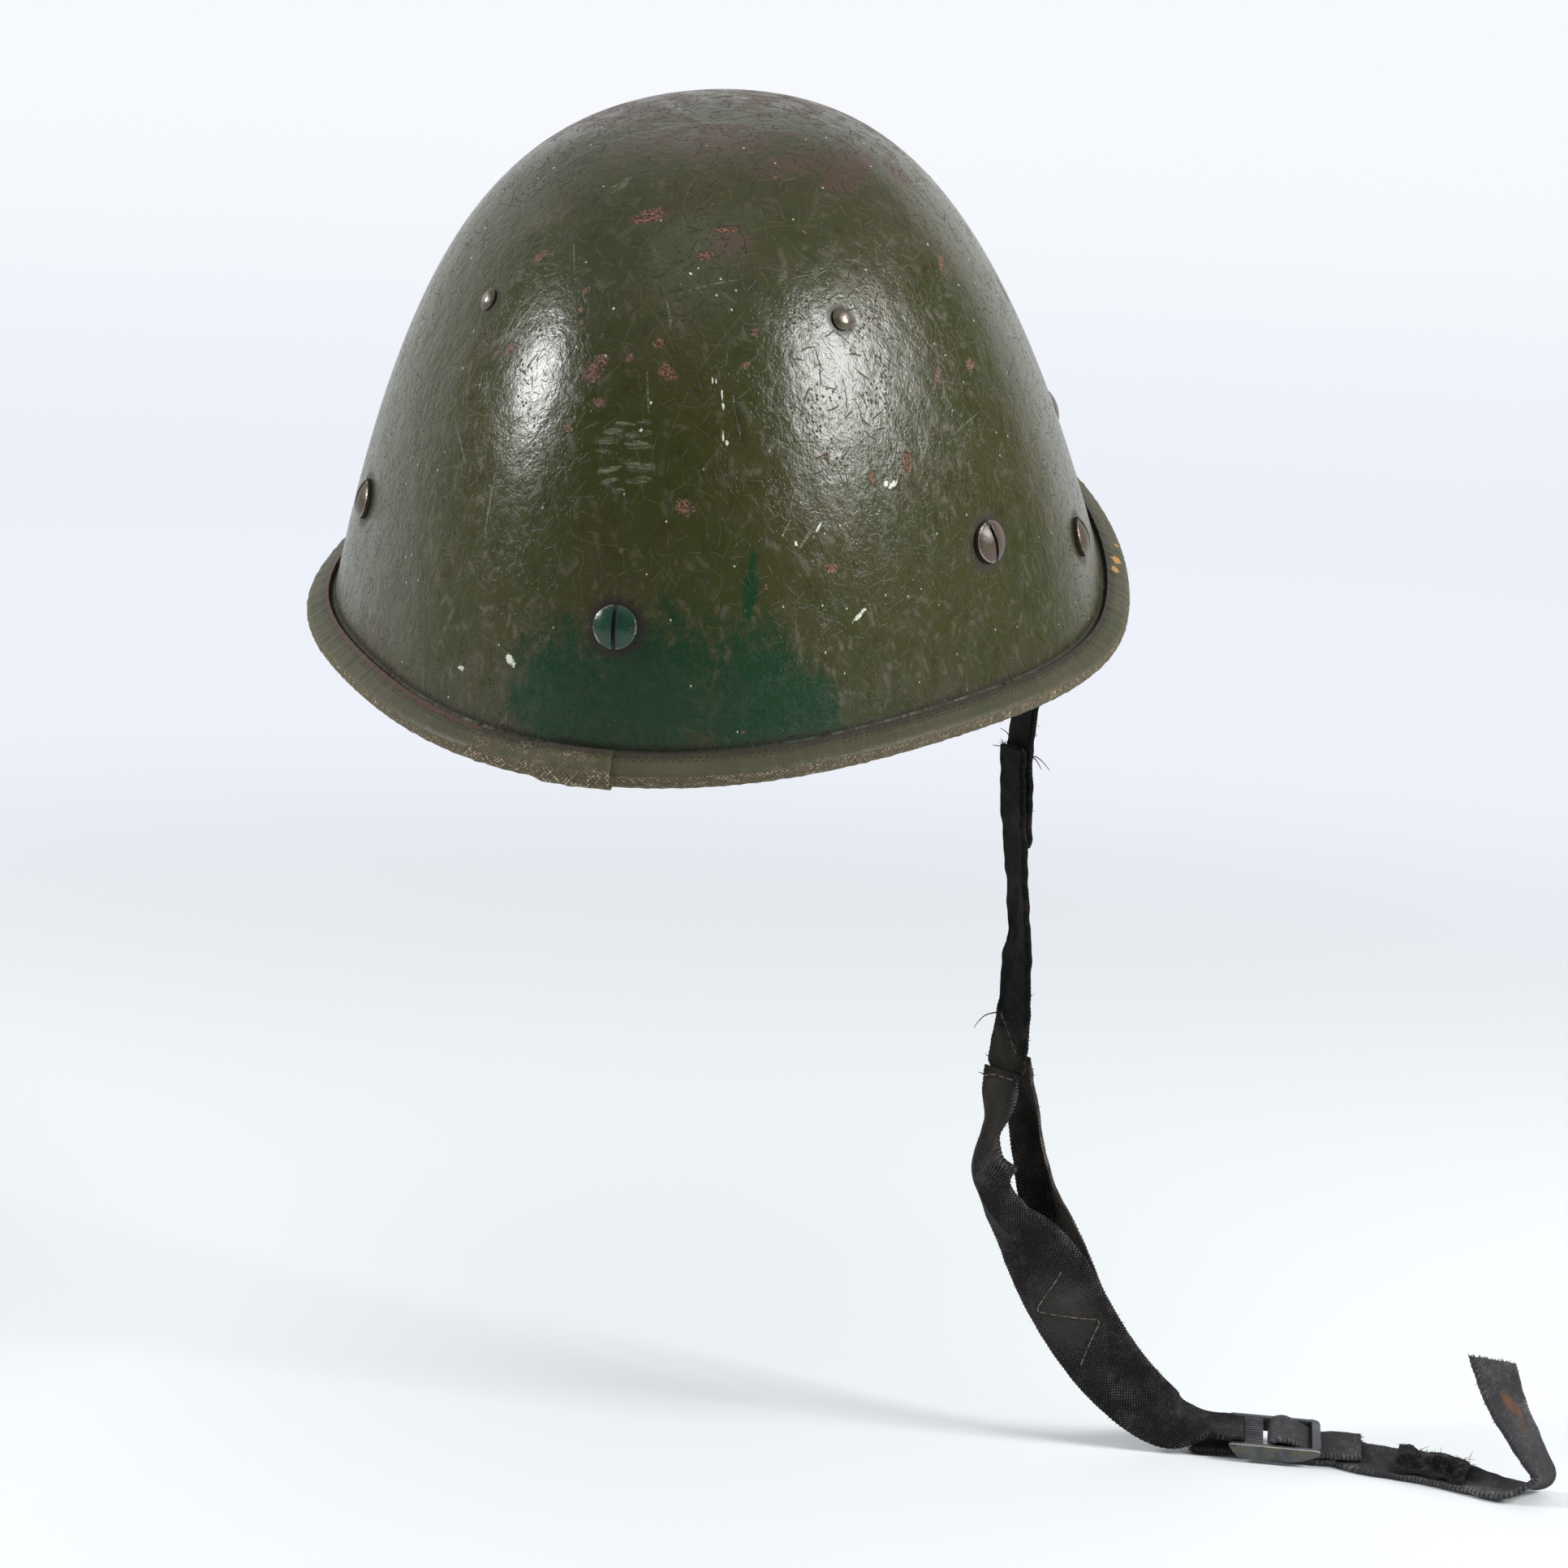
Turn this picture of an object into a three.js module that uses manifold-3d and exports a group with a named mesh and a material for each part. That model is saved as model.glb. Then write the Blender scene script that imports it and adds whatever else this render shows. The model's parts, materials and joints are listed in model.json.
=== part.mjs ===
// Fibre-composite combat helmet: a moulded shell with an out-turned rim, a canvas edge binding,
// slotted liner bolts, crown rivets, and a webbing chin strap with a buckle and a free end.
// Millimetres, +Z up, front towards -Y, the wearer's left towards +X.
// The origin is the middle of the opening, level with the root of the rim at front and back.
// The helmet leans forward as it is worn, and the strap hangs plumb from its bolt until its end
// lies on a level surface.

import * as THREE from 'three';
import { mergeVertices } from 'three/addons/utils/BufferGeometryUtils.js';
import Module from 'manifold-3d';

const wasm = await Module();
wasm.setup();

const GAP = 0.3; // clearance between pieces that touch
const SEAT_GAP = 0.7; // clearance inside the dome, where the facets cut the corner

// Shell
const LEAN = 18.3; // degrees, front down
const FRONT_LENGTH = 136; // origin to the front wall, at the root of the rim
const BACK_LENGTH = 142;
const HALF_WIDTH = 117;
const FRONT_PINCH = 0.075; // share by which the front corners of the plan are drawn in
const CROWN_HEIGHT = 130;
const DOME_POWER = 3.06; // higher makes a flatter crown over steeper walls
const EAR_DROP = 13.7; // the rim's root at the ears, below its root at front and back
const WALL = 6;
const ROUND_STEPS = 64;
const RING_CROWDING = 0.8; // lower crowds the rings towards the root
const OUTER_RINGS = 12;
const INNER_RINGS = 10;

// Rim and its binding
const RIM_SLOPE = 28; // degrees below level
const RIM_REACH = 7.8; // root to the centre of the rounded tip
const RIM_THICKNESS = 2.6;
const RIM_UNDERCUT = 4.6; // how far the underside runs inwards past the root
const INNER_EDGE = 0.99; // where the inner wall stops, as a share of the plan
const TIP_STEPS = 3;
const TAPE = 1;
const TAPE_TOP_INSET = 1.5; // tape edge from the root, on top
const TAPE_UNDER_INSET = -1; // and underneath

// Fasteners
const BOLT_SIDES = 12;
const BOLT_HEAD = { radius: 6, height: 2.6 };
const BOLT_SHANK = 2.5;
const BOLT_SLOT = { width: 1.4, depth: 1.2 };
const BOLT_END = 1.5; // shank standing out of its nut
const NUT = { flats: 9, height: 4 };
const RIVET_HEAD = { radius: 3.2, height: 1.5 };
const RIVET_SHANK = 1.5;
const RIVET_FOOT = { radius: 3, height: 1 };
const LINER_BOLTS = [
  { name: 'front', angle: 0, height: 31 },
  { name: 'left_front', angle: 61, height: 28.5 },
  { name: 'left_back', angle: 124.5, height: 23.5 },
  { name: 'back', angle: 180, height: 31 },
  { name: 'right_back', angle: -124.5, height: 23.5 },
  { name: 'right_front', angle: -66.5, height: 25 },
];
const STRAP_BOLTS = [
  { name: 'left_strap', angle: 90, height: 9 },
  { name: 'right_strap', angle: -95.5, height: 9 },
];
const RIVETS = [
  { name: 'left_front', angle: 41, height: 95 },
  { name: 'left_back', angle: 139, height: 95 },
  { name: 'right_back', angle: -139, height: 95 },
  { name: 'right_front', angle: -41, height: 95 },
];

// Strap
const WEB = 1.8; // webbing thickness
const NARROW = 15; // webbing width above the chin piece and below the buckle
const TAB_END = 10.5; // width of the tab's rounded end
const SEWN = WEB + 0.5; // between the middles of two layers that are sewn together
const SURFACE = -284; // level that the strap's end lies on
const HOOK_PATCH = { width: 13, thickness: 1.6 };
const STEPS_PER_ROW = 2;

// Buckle, in its own frame: X along the strap, Z up out of its top face
const BUCKLE_PLACE = { x: 188.4, y: 28.5, z: SURFACE + 7.8, yaw: 3, tilt: 8 };
const BUCKLE = { length: 29, width: 20, cheek: 1.6, depth: 5, chamfer: 0.8 };
const BUCKLE_FOOT = { from: -11, to: 5, heelBack: 1.5, heelDrop: 2.2 };
const BAR_RADIUS = 1.2;
const BAR_SIDES = 10;
const BAR_DEPTH = 2.5; // middle of the two round bars, below the top face
const END_BAR = -12.3;
const LOOP_BAR = 1.5;
const GRIP_BAR = { from: -8.4, to: -3.2, thickness: 1.8 };
const GRIP_RIBS = { count: 9, pitch: 1.8, width: 0.8, height: 0.4 };
const RIGHT_BAR = { from: 11.8, to: 14.2, thickness: 1.7 };

const GREEN_PAINT = { color: 0x3b3d26, roughness: 0.45, metalness: 0 };
const CANVAS = { color: 0x4a4733, roughness: 0.9, metalness: 0 };
const WORN_STEEL = { color: 0x4d463c, roughness: 0.5, metalness: 0.8 };
const BLACK_WEBBING = { color: 0x1c1a18, roughness: 0.95, metalness: 0 };
const GREY_BUCKLE = { color: 0x45474b, roughness: 0.45, metalness: 0.3 };

const radians = THREE.MathUtils.degToRad;

// Joins coincident corners and drops the triangles that collapse at a pole or a seam.
function weld(geometry) {
  const bare = new THREE.BufferGeometry();
  bare.setAttribute('position', geometry.getAttribute('position').clone());
  if (geometry.index) bare.setIndex(geometry.index.clone());
  const merged = mergeVertices(bare, 1e-3);
  const corners = merged.index.array;
  const kept = [];
  for (let i = 0; i < corners.length; i += 3) {
    const [a, b, c] = corners.slice(i, i + 3);
    if (a !== b && b !== c && c !== a) kept.push(a, b, c);
  }
  merged.setIndex(kept);
  return merged;
}

// Turns a closed skin so that its faces point out.
function outward(geometry) {
  const welded = weld(geometry);
  const place = welded.getAttribute('position');
  const corners = Array.from(welded.index.array);
  const [a, b, c] = [new THREE.Vector3(), new THREE.Vector3(), new THREE.Vector3()];
  let volume = 0;
  for (let i = 0; i < corners.length; i += 3) {
    a.fromBufferAttribute(place, corners[i]);
    b.fromBufferAttribute(place, corners[i + 1]);
    c.fromBufferAttribute(place, corners[i + 2]);
    volume += a.dot(b.cross(c));
  }
  if (volume < 0) welded.setIndex(corners.reverse());
  return welded;
}

function toSolid(geometry) {
  const closed = outward(geometry);
  return new wasm.Manifold(new wasm.Mesh({
    numProp: 3,
    vertProperties: new Float32Array(closed.getAttribute('position').array),
    triVerts: new Uint32Array(closed.index.array),
  }));
}

function toGeometry(solid) {
  const mesh = solid.getMesh();
  const geometry = new THREE.BufferGeometry();
  geometry.setAttribute('position', new THREE.BufferAttribute(mesh.vertProperties, 3));
  geometry.setIndex(new THREE.BufferAttribute(mesh.triVerts, 1));
  return geometry;
}

function cut(geometry, cutters) {
  return toGeometry(cutters.reduce((solid, cutter) => solid.subtract(toSolid(cutter)), toSolid(geometry)));
}

function join(geometries) {
  return toGeometry(geometries.map(toSolid).reduce((all, one) => all.add(one)));
}

function piece(name, geometry, finish) {
  const shape = outward(geometry);
  shape.computeVertexNormals();
  const mesh = new THREE.Mesh(shape, new THREE.MeshStandardMaterial(finish));
  mesh.name = name;
  return mesh;
}

// A skin over a grid of points; rows and columns may close on themselves.
function skin(grid, rowsClose, columnsClose, caps = []) {
  const width = grid[0].length;
  const corners = [];
  const quad = (a, b, c, d) => corners.push(a, b, c, a, c, d);
  const lastRow = rowsClose ? grid.length : grid.length - 1;
  const lastColumn = columnsClose ? width : width - 1;
  for (let i = 0; i < lastRow; i += 1) {
    const [here, next] = [i * width, ((i + 1) % grid.length) * width];
    for (let j = 0; j < lastColumn; j += 1) {
      const k = (j + 1) % width;
      quad(here + j, here + k, next + k, next + j);
    }
  }
  caps.forEach(([a, b, c, d]) => quad(a, b, c, d));
  const geometry = new THREE.BufferGeometry().setFromPoints(grid.flat());
  geometry.setIndex(corners);
  return geometry;
}

// Shell surface. An angle is measured from the front towards +X, a share from the crown to the root.
function planRadius(angle) {
  const length = Math.cos(angle) > 0 ? FRONT_LENGTH : BACK_LENGTH;
  const pinch = Math.cos(angle) > 0 ? FRONT_PINCH * Math.sin(2 * angle) ** 2 : 0;
  return (1 - pinch) / Math.hypot(Math.cos(angle) / length, Math.sin(angle) / HALF_WIDTH);
}

function rootHeight(angle) {
  return EAR_DROP * (Math.cos(2 * angle) - 1) / 2;
}

function shellPoint(angle, share) {
  const radius = planRadius(angle) * share;
  const root = rootHeight(angle);
  const z = root + (CROWN_HEIGHT - root) * (1 - share ** DOME_POWER);
  return new THREE.Vector3(radius * Math.sin(angle), -radius * Math.cos(angle), z);
}

function shellNormal(angle, share) {
  if (share < 1e-6) return new THREE.Vector3(0, 0, 1);
  const step = 1e-4;
  const round = shellPoint(angle + step, share).sub(shellPoint(angle - step, share));
  const down = shellPoint(angle, share + step).sub(shellPoint(angle, share - step));
  return down.cross(round).normalize();
}

function innerPoint(angle, share) {
  return shellPoint(angle, share).addScaledVector(shellNormal(angle, share), -WALL);
}

function ringShare(i, rings) {
  return Math.sin(Math.PI / 2 * i / rings) ** RING_CROWDING;
}

// A point of the rim's section: along runs down the rim from its root, lift stands off its top face.
function rimPoint(angle, along, lift) {
  const step = 1e-4;
  const round = shellPoint(angle + step, 1).sub(shellPoint(angle - step, 1));
  const out = new THREE.Vector3(round.y, -round.x, 0).normalize();
  const slope = radians(RIM_SLOPE);
  const reach = along * Math.cos(slope) + lift * Math.sin(slope);
  const rise = -along * Math.sin(slope) + lift * Math.cos(slope);
  return shellPoint(angle, 1).addScaledVector(out, reach).add(new THREE.Vector3(0, 0, rise));
}

// The rim's rounded tip, or a layer that stands off it.
function rimTip(angle, standOff) {
  const radius = RIM_THICKNESS / 2 + standOff;
  return Array.from({ length: TIP_STEPS + 1 }, (_, i) => {
    const turn = Math.PI * i / TIP_STEPS;
    const lift = radius * Math.cos(turn) - RIM_THICKNESS / 2;
    return rimPoint(angle, RIM_REACH + radius * Math.sin(turn), lift);
  });
}

function roundTheRim(section) {
  return Array.from({ length: ROUND_STEPS }, (_, i) => section(2 * Math.PI * i / ROUND_STEPS));
}

function shellSection(angle) {
  const outer = Array.from({ length: OUTER_RINGS + 1 }, (_, i) =>
    shellPoint(angle, ringShare(i, OUTER_RINGS)));
  const inner = Array.from({ length: INNER_RINGS + 1 }, (_, i) =>
    innerPoint(angle, INNER_EDGE * ringShare(INNER_RINGS - i, INNER_RINGS)));
  return [...outer, ...rimTip(angle, 0), rimPoint(angle, -RIM_UNDERCUT, -RIM_THICKNESS), ...inner];
}

function bindingSection(angle) {
  const edge = (inset, lift) => rimPoint(angle, inset, lift);
  return [
    edge(TAPE_TOP_INSET, GAP + TAPE),
    ...rimTip(angle, GAP + TAPE),
    edge(TAPE_UNDER_INSET, -RIM_THICKNESS - GAP - TAPE),
    edge(TAPE_UNDER_INSET, -RIM_THICKNESS - GAP),
    ...rimTip(angle, GAP).reverse(),
    edge(TAPE_TOP_INSET, GAP),
  ];
}

// Placement of a fastener: its own Z out of the shell, its own Y up the wall.
function onShell({ angle, height }) {
  const turn = radians(angle);
  const root = rootHeight(turn);
  const share = (1 - (height - root) / (CROWN_HEIGHT - root)) ** (1 / DOME_POWER);
  const out = shellNormal(turn, share);
  const side = new THREE.Vector3(0, 0, 1).cross(out).normalize();
  return new THREE.Matrix4()
    .makeBasis(side, out.clone().cross(side), out)
    .setPosition(shellPoint(turn, share));
}

function turned(profile, sides) {
  const points = profile.map(([radius, height]) => new THREE.Vector2(radius, height));
  return new THREE.LatheGeometry(points, sides).rotateX(Math.PI / 2);
}

function hole(radius) {
  const length = 4 * WALL;
  return turned([[0, -length], [radius, -length], [radius, length], [0, length]], BOLT_SIDES);
}

// Rounded head from its top to its rim.
function domed({ radius, height }) {
  return [0, 25, 55, 90].map(radians).map((turn) => [radius * Math.sin(turn), height * Math.cos(turn)]);
}

function bolt(clamped) {
  const end = -(WALL + clamped + SEAT_GAP + NUT.height + BOLT_END);
  const blank = turned([...domed(BOLT_HEAD), [BOLT_SHANK, 0], [BOLT_SHANK, end], [0, end]], BOLT_SIDES);
  const slot = new THREE.BoxGeometry(BOLT_SLOT.width, 3 * BOLT_HEAD.radius, 2 * BOLT_SLOT.depth);
  return cut(blank, [slot.translate(0, 0, BOLT_HEAD.height)]).translate(0, 0, GAP);
}

function nut(clamped) {
  const toCorner = NUT.flats / Math.sqrt(3);
  const outline = new THREE.Shape([0, 60, 120, 180, 240, 300].map(radians).map((turn) =>
    new THREE.Vector2(toCorner * Math.cos(turn), toCorner * Math.sin(turn))));
  outline.holes.push(new THREE.Path().absarc(0, 0, BOLT_SHANK + GAP, 0, 2 * Math.PI, true));
  const flat = { depth: NUT.height, bevelEnabled: false, curveSegments: BOLT_SIDES / 2 };
  return new THREE.ExtrudeGeometry(outline, flat).translate(0, 0, -(WALL + clamped + SEAT_GAP + NUT.height));
}

function rivet() {
  const foot = -(WALL + SEAT_GAP + GAP);
  const end = foot - RIVET_FOOT.height;
  const profile = [
    ...domed(RIVET_HEAD), [RIVET_SHANK, 0], [RIVET_SHANK, foot],
    [RIVET_FOOT.radius, foot], [RIVET_FOOT.radius, end], [0, end],
  ];
  return turned(profile, BOLT_SIDES).translate(0, 0, GAP);
}

// Strap section in the part's frame. Turn (round plumb) and tilt (above level) say where its width points.
function section({ x, y, z, turn, tilt = 0, width = NARROW, cup = 0 }) {
  const [heading, rise] = [radians(turn), radians(tilt)];
  const level = Math.cos(rise);
  const across = new THREE.Vector3(Math.cos(heading) * level, Math.sin(heading) * level, Math.sin(rise));
  return { at: new THREE.Vector3(x, y, z), across, size: new THREE.Vector3(width, cup, 0) };
}

// Webbing through its sections. A cup bows the width, up to its own depth in the middle.
function webbing(rows, columns, thickness = WEB) {
  const through = (key) => new THREE.CatmullRomCurve3(rows.map((row) => row[key]), false, 'catmullrom');
  const [route, facing, size] = [through('at'), through('across'), through('size')];
  const steps = (rows.length - 1) * STEPS_PER_ROW;
  const grid = Array.from({ length: steps + 1 }, (_, i) => {
    const along = route.getTangent(i / steps);
    const across = facing.getPoint(i / steps);
    across.addScaledVector(along, -across.dot(along)).normalize();
    const face = along.cross(across).normalize();
    const { x: width, y: cup } = size.getPoint(i / steps);
    const layer = (side) => Array.from({ length: columns + 1 }, (__, j) => {
      const place = j / columns - 0.5;
      const bow = cup * (1 - 4 * place * place) + side * thickness / 2;
      const middle = route.getPoint(i / steps);
      return middle.addScaledVector(across, width * place).addScaledVector(face, bow);
    });
    return [...layer(1), ...layer(-1).reverse()];
  });
  const loop = 2 * columns + 2;
  const caps = [];
  for (let j = 0; j < columns; j += 1) {
    const end = steps * loop;
    caps.push([j + 1, j, loop - 1 - j, loop - 2 - j]);
    caps.push([end + j, end + j + 1, end + loop - 2 - j, end + loop - 1 - j]);
  }
  return skin(grid, false, true, caps);
}

// The same sections, moved off their own face.
function beside(rows, distance) {
  return rows.map((row, i) => {
    const along = rows[Math.min(i + 1, rows.length - 1)].at.clone().sub(rows[Math.max(i - 1, 0)].at);
    const face = along.cross(row.across).normalize();
    return { ...row, at: row.at.clone().addScaledVector(face, distance) };
  });
}

const lean = new THREE.Matrix4().makeRotationX(radians(LEAN));
const strapBolt = lean.clone().multiply(onShell(STRAP_BOLTS[0]));

// The tab's top, held flat against the inner wall by the strap bolt.
function boltRow(down) {
  const at = new THREE.Vector3(0, -down, -(WALL + SEAT_GAP + WEB / 2)).applyMatrix4(strapBolt);
  const across = new THREE.Vector3(1, 0, 0).transformDirection(strapBolt);
  return { at, across, size: new THREE.Vector3(NARROW, 0, 0) };
}

const upperRows = [
  { x: 94.6, y: 0.5, z: -57, turn: 122 },
  { x: 95.4, y: 0.6, z: -73, turn: 122 },
  { x: 97, y: 1, z: -88, turn: 120 },
  { x: 98.7, y: 1.2, z: -104, turn: 117 },
  { x: 99.2, y: 1.8, z: -117, turn: 127 },
  { x: 99.3, y: 2.4, z: -131, turn: 132 },
  { x: 99, y: 3, z: -144, turn: 140 },
  { x: 98.3, y: 3.5, z: -154, turn: 143 },
  { x: 98.2, y: 4, z: -164, turn: 145 },
].map(section);

const tabRows = [
  boltRow(-9),
  boltRow(0),
  boltRow(7),
  section({ x: 103.8, y: 1.5, z: -12, turn: 97, tilt: 6 }),
  section({ x: 101, y: 2, z: -28, turn: 110 }),
  section({ x: 97.6, y: 2, z: -45, turn: 120 }),
  ...beside(upperRows.slice(0, 3), SEWN),
];
tabRows.at(-1).size.x = TAB_END;

// Strap sections in the buckle's own frame; side is 1 or -1 for the way the width points.
const buckleFrame = new THREE.Matrix4().makeRotationFromEuler(
  new THREE.Euler(radians(BUCKLE_PLACE.tilt), 0, radians(BUCKLE_PLACE.yaw), 'ZYX'),
).setPosition(BUCKLE_PLACE.x, BUCKLE_PLACE.y, BUCKLE_PLACE.z);

function buckleRow({ along, up }, side) {
  return {
    at: new THREE.Vector3(along, 0, up).applyMatrix4(buckleFrame),
    across: new THREE.Vector3(0, side, 0).transformDirection(buckleFrame),
    size: new THREE.Vector3(NARROW, 0, 0),
  };
}

// Half a turn round a bar, from its top to its underside; way is 1 to the right and -1 to the left.
function roundBar(bar, way) {
  const radius = BAR_RADIUS + GAP + WEB / 2;
  return [0, 45, 90, 135, 180].map(radians).map((turn) => ({
    along: bar + way * radius * Math.sin(turn),
    up: radius * Math.cos(turn) - BAR_DEPTH,
  }));
}

const frontRows = [
  ...[
    { x: 96.9, y: 1.6, z: -153, turn: 144, width: 12.5 },
    { x: 96.8, y: 1.9, z: -164, turn: 149, width: 13.5, cup: -1.5 },
    { x: 96.8, y: 1, z: -174, turn: 157, width: 8.5, cup: -5 },
    { x: 94.8, y: 0, z: -186, turn: 155, width: 9.5, cup: -6 },
    { x: 97, y: 1, z: -195.5, turn: 160, width: 11.5, cup: -5 },
    { x: 101.7, y: 3, z: -204.5, turn: 165, tilt: -18, width: 15, cup: -4 },
    { x: 108.7, y: 6, z: -213.6, turn: 174, tilt: -26, width: 21, cup: -2 },
    { x: 116.2, y: 9, z: -225.7, turn: 180, tilt: -22, width: 25, cup: -1 },
    { x: 124.4, y: 12, z: -240.4, turn: 180, tilt: -30, width: 25 },
    { x: 134.5, y: 15, z: -255, turn: 184, tilt: -38, width: 23.5 },
    { x: 146, y: 19.5, z: -267.5, turn: 200, tilt: -44, width: 21, cup: -1 },
    { x: 156, y: 24, z: -274.5, turn: 236, tilt: -40, width: 18.5, cup: -1 },
  ].map(section),
  ...[
    { along: -22, up: 0.7 },
    { along: -16.5, up: 0.3 },
    ...roundBar(END_BAR, 1),
    { along: -17, up: -5.2 },
    { along: -22, up: -5.5 },
    { along: -26, up: -5.6 },
  ].map((place) => buckleRow(place, -1)),
];

const backRows = [
  { x: 99.8, y: 5.3, z: -153, turn: 143 },
  { x: 101, y: 7.4, z: -163, turn: 153, width: 12.5, cup: 2.5 },
  { x: 103.4, y: 9, z: -172, turn: 164, width: 10.5, cup: 6.5 },
  { x: 104.7, y: 9.7, z: -181, turn: 165, width: 10.5, cup: 8 },
  { x: 107, y: 11, z: -191.6, turn: 166, width: 11.5, cup: 8 },
  { x: 110, y: 13, z: -202, turn: 168, tilt: -12, width: 13.5, cup: 7 },
  { x: 115.5, y: 14.5, z: -214, turn: 172, tilt: -22, width: 16, cup: 5 },
  { x: 121, y: 14.5, z: -227, turn: 178, tilt: -24, width: 17.5, cup: 2 },
  { x: 126.4, y: 15, z: -239, turn: 180, tilt: -30, width: 17 },
  { x: 130.4, y: 16.2, z: -245, turn: 182, tilt: -34, width: 15 },
].map(section);

const looseRows = [
  { x: 217, y: 27, z: SURFACE + 2.7, turn: 91, tilt: 13 },
  { x: 227, y: 25.8, z: SURFACE + 2.9, turn: 86, tilt: 14 },
  { x: 238, y: 24, z: SURFACE + 2.9, turn: 82, tilt: 14 },
  { x: 249, y: 20.5, z: SURFACE + 2.5, turn: 76, tilt: 8 },
  { x: 259, y: 17, z: SURFACE + 2.2, turn: 74, tilt: 1 },
  { x: 266.5, y: 16, z: SURFACE + 3.9, turn: 70, tilt: -12 },
  { x: 271.5, y: 17, z: SURFACE + 7.6, turn: 58, tilt: -19 },
  { x: 267.7, y: 18.5, z: SURFACE + 14.5, turn: 50, tilt: -14 },
  { x: 261.5, y: 20, z: SURFACE + 24, turn: 40, tilt: -15 },
  { x: 256.6, y: 21, z: SURFACE + 33.5, turn: 30, tilt: -18 },
  { x: 253.4, y: 22, z: SURFACE + 42, turn: 22, tilt: -20 },
].map(section);

const endRows = [
  ...[
    { along: 27.4, up: -2.8 },
    { along: 17, up: -3 },
    { along: 12.8, up: -3.1 },
    { along: 8, up: -1.3 },
    ...roundBar(LOOP_BAR, -1),
    { along: 6, up: -5.3 },
    { along: 13, up: -5.5 },
    { along: 21, up: -5.3 },
  ].map((place) => buckleRow(place, 1)),
  ...looseRows,
];

function hookPatch() {
  const size = new THREE.Vector3(HOOK_PATCH.width, 0, 0);
  const rows = beside(looseRows.slice(1, 4), WEB / 2 + GAP + HOOK_PATCH.thickness / 2);
  return webbing(rows.map((row) => ({ ...row, size })), 2, HOOK_PATCH.thickness);
}

function flatBar({ from, to, thickness }, top) {
  return new THREE.BoxGeometry(to - from, BUCKLE.width - BUCKLE.cheek, thickness)
    .translate((from + to) / 2, 0, top - thickness / 2);
}

function roundBarAt(along) {
  const reach = BUCKLE.width - BUCKLE.cheek;
  return turned([[0, 0], [BAR_RADIUS, 0], [BAR_RADIUS, reach], [0, reach]], BAR_SIDES)
    .rotateX(Math.PI / 2)
    .translate(along, reach / 2, -BAR_DEPTH);
}

// One of the ribs on the grip bar, which run along the strap.
function gripRib(i) {
  const { count, pitch, width, height } = GRIP_RIBS;
  return new THREE.BoxGeometry(GRIP_BAR.to - GRIP_BAR.from, width, 2 * height)
    .translate((GRIP_BAR.from + GRIP_BAR.to) / 2, (i - (count - 1) / 2) * pitch, -height);
}

// Boat-shaped side of the buckle, drawn along the strap and extruded across it.
function cheek(side) {
  const half = BUCKLE.length / 2;
  const outline = new THREE.Shape([
    [-half, -BUCKLE.chamfer],
    [-half + BUCKLE.chamfer, 0],
    [half - BUCKLE.chamfer, 0],
    [half, -BUCKLE.chamfer],
    [half - BUCKLE_FOOT.heelBack, -BUCKLE_FOOT.heelDrop],
    [BUCKLE_FOOT.to, -BUCKLE.depth],
    [BUCKLE_FOOT.from, -BUCKLE.depth],
  ].map(([along, up]) => new THREE.Vector2(along, up)));
  return new THREE.ExtrudeGeometry(outline, { depth: BUCKLE.cheek, bevelEnabled: false })
    .rotateX(Math.PI / 2)
    .translate(0, side * (BUCKLE.width - BUCKLE.cheek) / 2 + BUCKLE.cheek / 2, 0);
}

function buckle() {
  return join([
    cheek(-1),
    cheek(1),
    flatBar(GRIP_BAR, -GRIP_RIBS.height),
    ...Array.from({ length: GRIP_RIBS.count }, (_, i) => gripRib(i)),
    flatBar(RIGHT_BAR, 0),
    roundBarAt(END_BAR),
    roundBarAt(LOOP_BAR),
  ]);
}

const helmet = new THREE.Group();
helmet.rotation.x = radians(LEAN);

const part = new THREE.Group();
part.add(helmet);

const allBolts = [...LINER_BOLTS, ...STRAP_BOLTS];
const holes = [
  ...allBolts.map((spot) => hole(BOLT_SHANK + GAP).applyMatrix4(onShell(spot))),
  ...RIVETS.map((spot) => hole(RIVET_SHANK + GAP).applyMatrix4(onShell(spot))),
];
helmet.add(piece('shell', cut(skin(roundTheRim(shellSection), true, false), holes), GREEN_PAINT));
helmet.add(piece('edge_binding', skin(roundTheRim(bindingSection), true, true), CANVAS));

allBolts.forEach((spot) => {
  const clamped = spot.name === 'left_strap' ? WEB + 2 * GAP : 0;
  helmet.add(piece(`bolt_${spot.name}`, bolt(clamped).applyMatrix4(onShell(spot)), WORN_STEEL));
  helmet.add(piece(`nut_${spot.name}`, nut(clamped).applyMatrix4(onShell(spot)), WORN_STEEL));
});
RIVETS.forEach((spot) => {
  helmet.add(piece(`rivet_${spot.name}`, rivet().applyMatrix4(onShell(spot)), WORN_STEEL));
});

const tabHole = hole(BOLT_SHANK + GAP).applyMatrix4(strapBolt);
part.add(piece('strap_tab', cut(webbing(tabRows, 2), [tabHole]), BLACK_WEBBING));
part.add(piece('strap_upper', webbing(upperRows, 2), BLACK_WEBBING));
part.add(piece('chin_band_front', webbing(frontRows, 4), BLACK_WEBBING));
part.add(piece('chin_band_back', webbing(backRows, 4), BLACK_WEBBING));
part.add(piece('strap_end', webbing(endRows, 2), BLACK_WEBBING));
part.add(piece('hook_patch', hookPatch(), BLACK_WEBBING));

const buckleMesh = piece('buckle', buckle(), GREY_BUCKLE);
buckleMesh.applyMatrix4(buckleFrame);
part.add(buckleMesh);

export default part;
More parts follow.
